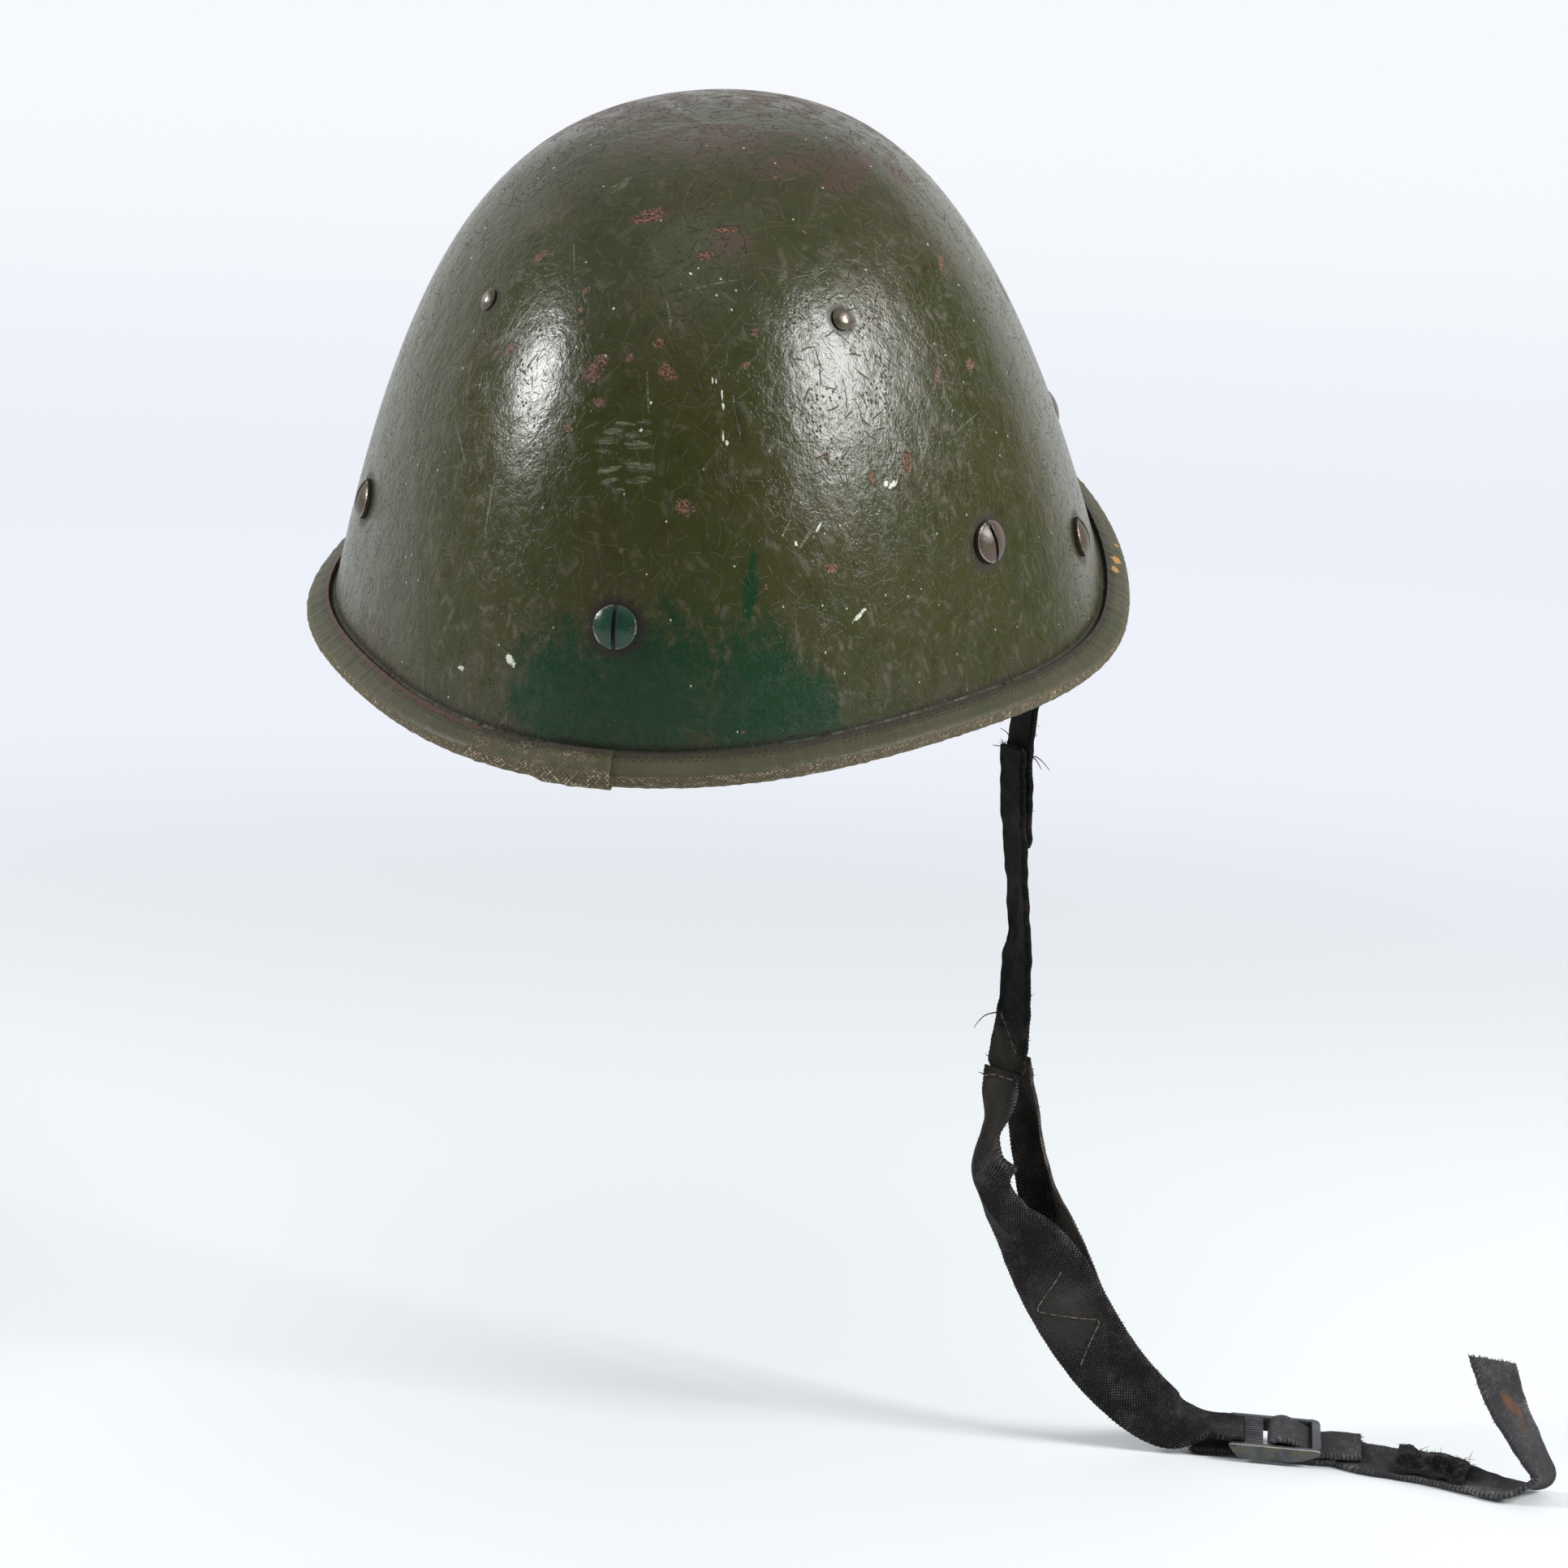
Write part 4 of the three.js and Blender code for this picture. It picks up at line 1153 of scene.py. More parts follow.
def place_copy(pattern, name, place, radius, longer=0.0):
    points = points_of(pattern)
    piece = pattern.copy()
    piece.data = pattern.data.copy()
    piece.name = name
    piece.data.name = name
    bpy.context.scene.collection.objects.link(piece)
    lay_map(piece, "head_map", points[:, :2] / radius)
    points[:, 2] -= np.where(points[:, 2] < -SHELL_WALL, longer, 0)
    put_points(piece, points + (0, 0, HEAD_LIFT))
    piece.data.transform(place)
    return piece


for name, spot in (LINER_BOLTS | STRAP_BOLTS).items():
    longer = CLAMPED if name == "left_strap" else 0.0
    head = place_copy(bolt, "bolt_head_" + name, on_shell(*spot), BOLT_RADIUS, longer)
    finish = front_bolt_green if name == "front" else bolt_steel
    settle(head, finish, "fastener_steel", "bolt_" + name, smooth=35)
for name, spot in RIVETS.items():
    head = place_copy(rivet, "rivet_head_" + name, on_shell(*spot), RIVET_RADIUS)
    settle(head, rivet_steel, "fastener_steel", "rivet_" + name, smooth=35)
bpy.data.objects.remove(bolt)
bpy.data.objects.remove(rivet)
hex_steel = nut_steel()
for name, node in frame["nodes"].items():
    if name.startswith("nut_"):
        node.data.materials.clear()
        node.data.materials.append(hex_steel)

# %% [markdown]
# ## The strap's path
# Webbing is a flat band that bends one way and twists, but hardly stretches. Its middle line runs smoothly
# through a few rows, and each row says where the band's width points, how wide it is there and how much it
# is cupped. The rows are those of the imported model, so every band lies where its solid does.

# %% Rows and bands
WEB = 0.0018
NARROW = 0.015
SEWN = WEB + 0.0005


def flat_row(at, across, width=NARROW, cup=0.0):
    return {"at": np.array(at), "across": np.array(across), "size": np.array((width, cup))}


def row_at(x, y, z, turn, tilt=0.0, width=15.0, cup=0.0):
    """A row of a band, in millimetres and degrees."""
    heading, rise = math.radians(turn), math.radians(tilt)
    level = math.cos(rise)
    across = (math.cos(heading) * level, math.sin(heading) * level, math.sin(rise))
    return flat_row(np.array((x, y, z)) * MM, across, width * MM, cup * MM)


def through(points, t):
    """A smooth curve through points, at shares t of the way along its rows."""
    points = np.asarray(points)
    ends = np.vstack([2 * points[0] - points[1], points, 2 * points[-1] - points[-2]])
    spot = np.clip(t, 0, 1) * (len(points) - 1)
    i = np.minimum(spot.astype(int), len(points) - 2)
    f = (spot - i)[:, None]
    a, b, c, d = (ends[i + k] for k in range(4))
    return 0.5 * (2 * b + (c - a) * f + (2 * a - 5 * b + 4 * c - d) * f**2 + (3 * b - a - 3 * c + d) * f**3)


class Band:
    """A band's middle surface. A place on it is a length s along it and a share a across it, -0.5 to 0.5."""

    def __init__(self, rows, folds=(), lobes=(), wander=0.00012, seed=1):
        self.rows = {key: [r[key] for r in rows] for key in ("at", "across", "size")}
        self.folds = folds
        self.lobes = lobes
        self.wander = wander
        self.phase = np.random.default_rng(seed).uniform(0, 2 * math.pi, 6)
        self.t = np.linspace(0, 1, 40 * (len(rows) - 1) + 1)
        self.walked = walked_along(through(self.rows["at"], self.t))
        self.length = self.walked[-1]

    def frame(self, s):
        t = np.interp(s, self.walked, self.t)
        middle = through(self.rows["at"], t)
        before, after = (through(self.rows["at"], np.clip(t + way, 0, 1)) for way in (-1e-4, 1e-4))
        along = unit(after - before)
        middle = middle + along * (s - np.clip(s, 0, self.length))[:, None]
        across = through(self.rows["across"], t)
        across = unit(across - along * (across * along).sum(-1, keepdims=True))
        width, cup = through(self.rows["size"], t).T
        return middle, along, across, unit(np.cross(along, across)), width, cup

    def relief(self, s, a, width):
        """Folds and the small unevenness of used webbing, off the middle surface."""
        p = self.phase
        off = np.sin(s * 700 + 3 * a + p[0]) + np.sin(s * 390 - 5 * a + p[1])
        off = off + 0.6 * np.sin(s * 1130 + 9 * a + p[2])
        off = self.wander * off * (0.4 + 1.2 * np.abs(a))
        for s0, a0, s1, a1, depth, spread in self.folds:
            begin = np.stack([0 * s + s0 * MM, a0 * width], axis=-1)
            run = np.stack([0 * s + (s1 - s0) * MM, (a1 - a0) * width], axis=-1)
            here = np.stack([s, a * width], axis=-1) - begin
            share = np.clip((here * run).sum(-1) / np.maximum((run * run).sum(-1), 1e-12), 0, 1)
            gap = np.linalg.norm(here - run * share[:, None], axis=-1) / (spread * MM)
            off = off + depth * MM * np.exp(-gap * gap)
        return off

    def point(self, s, a, lift, sideways=0.0):
        middle, _, across, face, width, cup = self.frame(s)
        bow = cup * (1 - 4 * a * a) + self.relief(s, a, width) + lift
        aside = width * a + sideways
        for s0, side, reach, spread, push in self.lobes:
            share = np.exp(-(((s / MM - s0) / spread) ** 2)) * np.clip(2 * side * a, 0, 1) ** 2
            aside = aside + side * reach * MM * share
            bow = bow + push * MM * share
        return middle + across * aside[:, None] + face * bow[:, None]


UPPER_ROWS = [
    row_at(94.6, 0.5, -57, 122), row_at(95.4, 0.6, -73, 122), row_at(97, 1, -88, 120),
    row_at(98.7, 1.2, -104, 117), row_at(99.2, 1.8, -117, 127), row_at(99.3, 2.4, -131, 132),
    row_at(99, 3, -144, 140), row_at(98.3, 3.5, -154, 143), row_at(98.2, 4, -164, 145),
]
print("upper strap length:", round(Band(UPPER_ROWS).length * 1000), "mm")

# %% Rows of the tab, the chin piece and the loose end
STRAP_BOLT = on_shell(*STRAP_BOLTS["left_strap"])
SEAT_GAP = 0.0007


def beside(rows, distance):
    """The same rows, moved off their own face."""
    moved = []
    for i, here in enumerate(rows):
        along = rows[min(i + 1, len(rows) - 1)]["at"] - rows[max(i - 1, 0)]["at"]
        face = unit(np.cross(along, here["across"]))
        moved.append(here | {"at": here["at"] + face * distance})
    return moved


def bolt_row(down):
    """The tab's top, held flat against the inner wall by the strap bolt."""
    at = STRAP_BOLT @ Vector((0, -down * MM, -(SHELL_WALL + SEAT_GAP + WEB / 2)))
    across = STRAP_BOLT.to_3x3() @ Vector((1, 0, 0))
    return flat_row(at, across)


TAB_ROWS = [
    bolt_row(-9), bolt_row(0), bolt_row(7),
    row_at(103.8, 1.5, -12, 97, 6), row_at(101, 2, -28, 110), row_at(97.6, 2, -45, 120),
    *beside(UPPER_ROWS[:3], SEWN),
]
TAB_ROWS[-1] = TAB_ROWS[-1] | {"size": np.array((0.0105, 0.0))}

BUCKLE_FRAME = (
    Matrix.Translation(Vector((188.4, 28.5, -276.2)) * MM)
    @ Matrix.Rotation(math.radians(3), 4, "Z")
    @ Matrix.Rotation(math.radians(8), 4, "X")
)
BAR_RADIUS, BAR_DEPTH = 1.2, 2.5
END_BAR, LOOP_BAR = -12.3, 1.5
ROLL = BAR_RADIUS + 0.3 + WEB / MM / 2


def buckle_row(along, up, side):
    at = BUCKLE_FRAME @ (Vector((along, 0, up)) * MM)
    across = BUCKLE_FRAME.to_3x3() @ Vector((0, side, 0))
    return flat_row(at, across)


def round_bar(bar, way, side):
    bends = [math.radians(turn) for turn in (0, 45, 90, 135, 180)]
    return [buckle_row(bar + way * ROLL * math.sin(b), ROLL * math.cos(b) - BAR_DEPTH, side) for b in bends]


CHIN_FRONT_ROWS = [
    row_at(96.9, 1.6, -153, 144, 0, 12.5), row_at(96.8, 1.9, -164, 149, 0, 13.5, -1.5),
    row_at(96.8, 1, -174, 157, 0, 8.5, -5),
    row_at(94.8, 0, -186, 155, 0, 9.5, -6), row_at(97, 1, -195.5, 160, 0, 11.5, -5),
    row_at(101.7, 3, -204.5, 165, -18, 15, -4), row_at(108.7, 6, -213.6, 174, -26, 21, -2),
    row_at(116.2, 9, -225.7, 180, -22, 25, -1), row_at(124.4, 12, -240.4, 180, -30, 25),
    row_at(134.5, 15, -255, 184, -38, 23.5), row_at(146, 19.5, -267.5, 200, -44, 21, -1),
    row_at(156, 24, -274.5, 236, -40, 18.5, -1), buckle_row(-22, 0.7, -1), buckle_row(-16.5, 0.3, -1),
    *round_bar(END_BAR, 1, -1),
    buckle_row(-17, -5.2, -1), buckle_row(-22, -5.5, -1), buckle_row(-26, -5.6, -1),
]
CHIN_BACK_ROWS = [
    row_at(99.8, 5.3, -153, 143), row_at(101, 7.4, -163, 153, 0, 12.5, 2.5),
    row_at(103.4, 9, -172, 164, 0, 10.5, 6.5),
    row_at(104.7, 9.7, -181, 165, 0, 10.5, 8), row_at(107, 11, -191.6, 166, 0, 11.5, 8),
    row_at(110, 13, -202, 168, -12, 13.5, 7), row_at(115.5, 14.5, -214, 172, -22, 16, 5),
    row_at(121, 14.5, -227, 178, -24, 17.5, 2), row_at(126.4, 15, -239, 180, -30, 17),
    row_at(130.4, 16.2, -245, 182, -34, 15),
]
LOOSE_ROWS = [
    row_at(217, 27, -281.3, 91, 13), row_at(227, 25.8, -281.1, 86, 14), row_at(238, 24, -281.1, 82, 14),
    row_at(249, 20.5, -281.5, 76, 8), row_at(259, 17, -281.8, 74, 1), row_at(266.5, 16, -280.1, 70, -12),
    row_at(271.5, 17, -276.4, 58, -19), row_at(267.7, 18.5, -269.5, 50, -14),
    row_at(261.5, 20, -260, 40, -15),
    row_at(256.6, 21, -250.5, 30, -18), row_at(253.4, 22, -242, 22, -20),
]
END_ROWS = [
    buckle_row(27.4, -2.8, 1), buckle_row(17, -3, 1), buckle_row(12.8, -3.1, 1), buckle_row(8, -1.3, 1),
    *round_bar(LOOP_BAR, -1, 1), buckle_row(6, -5.3, 1), buckle_row(13, -5.5, 1), buckle_row(21, -5.3, 1),
    *LOOSE_ROWS,
]
print("rows:", len(TAB_ROWS), len(CHIN_FRONT_ROWS), len(CHIN_BACK_ROWS), len(END_ROWS))

# %% [markdown]
# ## Webbing
# A band's edge is a thick woven cord, the selvage, with a small step at each pick of the weave. So each band
# is a grid that is rolled into a flat tube: its section is a thin rounded bar with thicker edges, and the
# edges are scalloped. The twill itself is far too fine for geometry and comes from the material.

# %% Make a band
SCALLOP, SCALLOP_HEIGHT = 0.0013, 0.00013
SLANT_LENGTH = 0.014
ROUND_SHARE, THIN_SHARE = 0.45, 0.28
CHIN_WEAVE = 0.022


def flat_section(columns):
    """(share across, share of the thickness) round a thin bar with rounded, thickened edges."""
    flat = np.linspace(-0.465, 0.465, columns)
    lip = 1 + 0.16 * np.exp(-(((np.abs(flat) - 0.44) / 0.05) ** 2))
    top = list(zip(flat, lip))
    right = [(0.488, 0.85), (0.5, 0.0), (0.488, -0.85)]
    under = [(a, -h) for a, h in reversed(top)]
    left = [(-a, -h) for a, h in right]
    return np.array(top + right + under + left)


def weave_band(
    name, band, thickness=WEB, step=0.0004, columns=15, nominal=NARROW,
    rounded=0.0, oblique=0.0, thin=(0, 0), begin=0.0, short=0.0,
):
    """A closed band, from its beginning to a little short of the band's end.

    Rounded rounds its last corners, oblique slants its last cut, and thin flattens its two ends.
    """
    loop = flat_section(columns)
    count = int(band.length / step)
    piece, column, row = flat_grid(name, len(loop), count)
    a, h = loop[column % len(loop)].T
    end = band.length - short
    s = begin + row / row.max() * (end - begin)
    tail = np.clip((s - end + SLANT_LENGTH) / SLANT_LENGTH, 0, 1)
    cut = s + oblique * a * tail
    narrowing = np.ones(len(s))
    if rounded:
        past = np.clip((s - end + rounded) / rounded, 0, 1)
        narrowing = 1 - ROUND_SHARE * (1 - np.sqrt(1 - 0.999 * past**2))
    edge = np.abs(a) > 0.48
    sideways = np.where(edge, SCALLOP_HEIGHT * np.sin(2 * math.pi * s / SCALLOP) * np.sign(a), 0)
    full = np.ones(len(s))
    for share, length in ((s - begin, thin[0]), (end - s, thin[1])):
        if length:
            rise = eased(np.clip(share / (length * MM), 0, 1))
            full = full * (THIN_SHARE + (1 - THIN_SHARE) * rise)
    put_points(piece, band.point(cut, a * narrowing, h * full * thickness / 2, sideways))
    lay_map(piece, "weave_map", np.stack([a * nominal, s], axis=-1))
    close_up(piece)
    return piece


CHIN_FOLDS = [
    (33, 0.12, 58, 0.05, -1.3, 1.6), (22, -0.2, 34, 0.25, 0.9, 2.2), (60, -0.1, 84, 0.3, 0.7, 3.0),
    (104, -0.35, 130, 0.25, 0.8, 2.4), (118, 0.35, 136, -0.1, -0.8, 2.0), (126, -0.3, 140, -0.05, -0.6, 1.6),
]
CHIN_LOBES = [(25, -1, -2.4, 4.5, 0), (37, -1, 3.9, 3.4, 2.2), (38, 1, 1.2, 5, 0)]
UPPER_FOLDS = [(44, -0.2, 62, 0.4, 0.7, 1.8), (55, -0.1, 80, 0.3, 0.6, 2.2), (88, 0.3, 104, -0.2, -0.4, 2)]
UPPER_LOBES = [(57, 1, -2.2, 4.5, 0.6), (66, 1, -0.6, 5, 0), (82, 1, -1.0, 10, 0)]
bands = {
    "strap_tab": Band(TAB_ROWS, [(30, 0.3, 52, 0.1, 0.3, 2)], seed=11),
    "strap_upper": Band(UPPER_ROWS, UPPER_FOLDS, UPPER_LOBES, seed=12),
    "chin_band_front": Band(CHIN_FRONT_ROWS, CHIN_FOLDS, CHIN_LOBES, seed=13),
    "chin_band_back": Band(CHIN_BACK_ROWS, [(30, 0.1, 60, 0.0, 0.6, 2.0)], seed=14),
    "strap_end": Band(END_ROWS, [(25, -0.5, 25, 0.5, -1.4, 4.2)], seed=15),
}
END_SLANT = -0.0075
WIDE = {"columns": 23, "nominal": CHIN_WEAVE}
WEAVING = {
    "strap_tab": ("webbing_tab", {"rounded": 0.004}),
    "strap_upper": ("webbing_upper", {"rounded": 0.004, "short": 0.0045}),
    "chin_band_front": ("webbing_chin_front", WIDE | {"thin": (8, 0), "begin": 0.005}),
    "chin_band_back": ("webbing_chin_back", WIDE | {"thin": (8, 8)}),
    "strap_end": ("webbing_loose_end", {"oblique": END_SLANT}),
}
straps = {name: weave_band(piece, bands[name], **cut) for name, (piece, cut) in WEAVING.items()}
for name, band in bands.items():
    print(name, "length", round(band.length * 1000), "mm, faces", len(straps[name].data.polygons))

# %% [markdown]
# The strap is black cotton that has gone grey-brown where it is rubbed, with dust between its threads. The
# narrow webbing is a twill with a herringbone edge; the wide chin piece is plain canvas. Both are the same
# finish with another weave, so one function makes them. The loose end and the chin piece's back layer take
# lighter copies of the colours: painted light, over the loose end's rust and the back layer's dust.

# %% Dusty black webbing
def black_webbing(name, half_width, plain, shades, stains):
    cloth = Finish(name, {"Specular IOR Level": 0.1, "Sheen Weight": 0.03, "Sheen Roughness": 0.6})
    at = cloth.map("weave_map")
    across, along = cloth.parts(at)
    place = cloth.place()
    pitch = 2 * math.pi / (0.0011 if plain else 0.0008)
    if plain:
        weave = (across * pitch).wave() * (along * pitch).wave()
    else:
        weave = (abs(across) * pitch * 0.9 + along * pitch * 0.9).wave()
        weave = weave + (across * pitch * 2).wave() * 0.35
    selvage = abs(across).ramp(half_width * 0.80, half_width * 0.88)
    cord = (along * (2 * math.pi / SCALLOP) + abs(across) * 2500).wave()
    corded = selvage * (0.3 if plain else 1.0)
    weave = weave * (1 - corded) + cord * corded * 0.7

    dust = cloth.noise(place, 0.012, 5, 0.65)
    lint = cloth.noise(place, 0.0012, 4, 0.7)
    fuzz = strokes(cloth, at, 0.0022, 0.0030, 0.00016, 0.45, 0.53)
    worn = weave * (0.46 if plain else 0.20) + dust.swing(1.5) + lint.swing(0.9)
    rubbed = (worn + selvage * 0.1).ramp(0.0, 0.8)
    cloth.colour = cloth.mix(rubbed, *shades)
    cloth.coat(dust.ramp(0.52, 0.80) * 0.40, srgb(74, 68, 60))
    cloth.coat(fuzz * 0.08, srgb(112, 104, 94))
    for s, a, length, width, shade in stains:
        gap = cloth.reach(cloth.moved(at, (a * MM, s * MM, 0), 0.12, (width * MM, length * MM, 1)))
        stain = (gap + lint.swing(2.6) + dust.swing(1.6)).ramp(1.15, 0.45)
        cloth.coat(stain * 0.6, shade)
    cloth.give({"Base Color": cloth.colour, "Roughness": 0.88 + lint.swing(0.2)})
    cloth.relief(weave * (0.12 if plain else 0.055) + lint.swing(0.30) + fuzz * 0.02)
    return cloth.material


END_LENGTH = bands["strap_end"].length / MM
# Length along the band and place across it, half length and half width, all in millimetres, and colour.
RUST_STAINS = [
    (END_LENGTH - 14, 0.0, 4.0, 1.7, srgb(130, 88, 62)),
    (END_LENGTH - 18.2, 2.2, 3.6, 1.5, srgb(124, 86, 64)),
    (END_LENGTH - 23, 0.8, 3.8, 2.4, srgb(92, 74, 58)),
]
UPPER_DUST = [(100, 1.0, 15, 8, srgb(54, 50, 44))]
CHIN_DUST = [(16, 0.0, 16, 9, srgb(60, 57, 51)), (92, 2.0, 16, 10, srgb(66, 64, 61))]
# The loose end's colours are a lighter copy of the narrow webbing's, painted light where it lies in the light; the
# back layer's are dust and painted light in its shaded hollow.
NARROW_SHADES = (srgb(6, 6, 6), srgb(25, 24, 24))
LOOSE_LIT_COLOURS = (srgb(58, 57, 59), srgb(142, 140, 142))
CHIN_SHADES = (srgb(20, 19, 19), srgb(96, 93, 91))
BACK_DUSTY_LIT_COLOURS = (srgb(40, 38, 35), srgb(118, 112, 104))
narrow_black = black_webbing("black_webbing", NARROW / 2, False, NARROW_SHADES, UPPER_DUST)
loose_black_lit = black_webbing("black_webbing_stained", NARROW / 2, False, LOOSE_LIT_COLOURS, RUST_STAINS)
canvas_black = black_webbing("black_chin_canvas", CHIN_WEAVE / 2, True, CHIN_SHADES, CHIN_DUST)
back_black_dusty_lit = black_webbing("black_chin_canvas_dusty", CHIN_WEAVE / 2, True, BACK_DUSTY_LIT_COLOURS, [])
STRAP_FINISH = {
    "strap_tab": narrow_black, "strap_upper": narrow_black, "strap_end": loose_black_lit,
    "chin_band_front": canvas_black, "chin_band_back": back_black_dusty_lit,
}
for name, piece in straps.items():
    settle(piece, STRAP_FINISH[name], "strap_webbing", name, smooth=60)

# %% [markdown]
# ## Hook patch
# A torn square of hook tape is sewn on the loose end. It is a band of its own, and its surface is broken
# up by a displacement so that it looks chewed rather than woven.

# %% Hook patch
PATCH_WIDTH, PATCH_THICKNESS = 0.013, 0.0016
patch_rows = beside(LOOSE_ROWS[1:4], WEB / 2 + 0.0003 + PATCH_THICKNESS / 2)
patch_rows = [r | {"size": np.array((PATCH_WIDTH, 0.0))} for r in patch_rows]
hook_band = Band(patch_rows, wander=0.0002, seed=21)
hook_patch = weave_band("hook_tape_patch", hook_band, PATCH_THICKNESS, 0.0005, 19, nominal=PATCH_WIDTH)
torn = points_of(hook_patch)
chance = np.random.default_rng(22)
lumps = [(chance.normal(0, 1, 3), chance.uniform(500, 1700), chance.uniform(0, 6)) for _ in range(10)]
wave = sum(np.sin(torn @ unit(way) * pitch + start) for way, pitch, start in lumps)
face = hook_band.frame(np.array([hook_band.length / 2]))[3][0]
put_points(hook_patch, torn + face * (0.00028 * wave)[:, None])


def torn_hooks():
    cloth = Finish("torn_hook_tape", {"Specular IOR Level": 0.3, "Sheen Weight": 0.1})
    at = cloth.map("weave_map")
    across, along = cloth.parts(at)
    torn_noise = cloth.noise(at, 0.0050, 4, 0.6)
    loops = cloth.noise(at, 0.0009, 3, 0.7)
    worn_away = (torn_noise.ramp(0.40, 0.50) * across.ramp(0.0040, 0.0)).higher(across.ramp(-0.0022, -0.0034))
    # Painted glint: pale specks of light on the torn hooks.
    speck = cloth.noise(at, 0.0016, 2).ramp(0.72, 0.76)
    cloth.colour = cloth.mix(loops.ramp(0.3, 0.7), srgb(52, 49, 46), srgb(78, 73, 68))
    cloth.coat(worn_away, srgb(12, 12, 12))
    cloth.coat(speck * 0.7, srgb(188, 184, 178))
    cloth.give({"Base Color": cloth.colour, "Roughness": 0.9 - worn_away * 0.2})
    cloth.relief(loops.swing(0.8) + (along * 4000).wave() * 0.08 - worn_away * 0.8)
    return cloth.material


settle(hook_patch, torn_hooks(), "hook_tape", "hook_patch", smooth=60)

# %% [markdown]
# ## Stitches
# Pale thread crosses the sewn places: a diagonal and a curved row on the upper strap, a Z on the chin piece,
# and a few loose stitches near the buckle. A stitch is a short round bar with tapered ends, modelled
# once from a sphere, and laid along a path that is given in the band's own lengths and shares.

# %% Lay stitches on the bands
STITCH, STITCH_GAP, STITCH_RADIUS = 0.0027, 0.0004, 0.00024
ON_TOP = -(WEB / 2 + 0.00008)

bpy.ops.mesh.primitive_uv_sphere_add(segments=8, ring_count=6, radius=1)
stitch_pattern = named("stitch_pattern")
stitch_points = points_of(stitch_pattern)
stitch_faces = [tuple(p.vertices) for p in stitch_pattern.data.polygons]
stitch_points[:, 2] = np.sign(stitch_points[:, 2]) * np.abs(stitch_points[:, 2]) ** 0.5
bpy.data.objects.remove(stitch_pattern)


def sew(name, band, path):
    """A row of stitches along (length in mm, share across) corners, on the face that shows."""
    corners = np.array([(s * MM, a) for s, a in path])
    widths = band.frame(corners[:, 0])[4]
    flat = np.stack([corners[:, 0], corners[:, 1] * widths], axis=-1)
    walked = walked_along(flat)
    starts = np.arange(0, walked[-1] - STITCH * 0.5, STITCH + STITCH_GAP)
    points, faces = [], []
    for start in starts:
        where = np.array([start, min(start + STITCH, walked[-1])])
        s, a = (np.interp(where, walked, corners[:, k]) for k in (0, 1))
        begin, end = band.point(s, a, np.full(2, ON_TOP))
        run = end - begin
        side = unit(np.cross(run, band.frame(s[:1])[3][0]))
        up = unit(np.cross(side, run))
        local = stitch_points * (STITCH_RADIUS, STITCH_RADIUS, np.linalg.norm(run) / 2)
        axes = np.stack([side, up, unit(run)])
        faces += [tuple(v + sum(map(len, points)) for v in f) for f in stitch_faces]
        points.append(local @ axes + (begin + end) / 2)
    mesh = bpy.data.meshes.new(name)
    mesh.from_pydata(np.vstack(points).tolist(), [], faces)
    piece = bpy.data.objects.new(name, mesh)
    bpy.context.scene.collection.objects.link(piece)
    return piece


def pale_thread():
    thread = Finish("pale_thread", {"Specular IOR Level": 0.25, "Roughness": 0.85})
    fade = thread.noise(thread.place(), 0.004, 3)
    thread.give({"Base Color": thread.mix(fade.ramp(0.35, 0.65), srgb(70, 66, 60), srgb(116, 109, 98))})
    thread.relief(thread.noise(thread.place(), 0.0004, 2).swing(0.2))
    return thread.material


SEAMS = {
    "stitches_upper_diagonal": ("strap_upper", [(84, 0.30), (95, -0.30)]),
    "stitches_upper_curve": ("chin_band_front", [(8.2, 0.42), (6.4, 0.1), (6.8, -0.42)]),
    "stitches_chin_z": ("chin_band_front", [(78.4, -0.16), (88.3, 0.40), (100, -0.29), (110.5, 0.28)]),
    "stitches_chin_gather": ("chin_band_front", [(140, -0.25), (144, -0.05)]),
    "stitches_loop_end": ("strap_end", [(2, -0.45), (2, 0.45)]),
}
pale = pale_thread()
sewn = {}


def sew_on(strap, piece, material):
    """Settles a small piece, and notes which strap it belongs to."""
    sewn.setdefault(strap, []).append(settle(piece, material, "strap_webbing", smooth=80))


for name, (strap, path) in SEAMS.items():
    sew_on(strap, sew(name, bands[strap], path), pale)

# %% [markdown]
# ## Loose threads
# The cut ends are frayed and a few long threads stick out. Each thread is a thin curve with a round section,
# made into a mesh at the end. Short fuzz along the cuts comes from a seeded random generator, so every run
# gives the same hairs.

# %% Threads and fuzz
THREAD_RADIUS, HAIR_RADIUS = 0.00026, 0.00010


def threads(name, paths, radius):
    """Thin round threads through points, tapered to their ends, as one mesh."""
    line = bpy.data.curves.new(name, "CURVE")
    line.dimensions = "3D"
    line.bevel_depth = radius
    line.bevel_resolution = 1
    line.resolution_u = 4
    line.use_fill_caps = True
    for path in paths:
        spline = line.splines.new("NURBS")
        spline.points.add(len(path) - 1)
        for i, (point, place) in enumerate(zip(spline.points, path)):
            point.co = (*place, 1)
            point.radius = 1 - 0.6 * i / (len(path) - 1)
        spline.order_u = 3
        spline.use_endpoint_u = True
    piece = bpy.data.objects.new(name, line)
    bpy.context.scene.collection.objects.link(piece)
    take(piece)
    bpy.ops.object.convert(target="MESH")
    return bpy.context.object


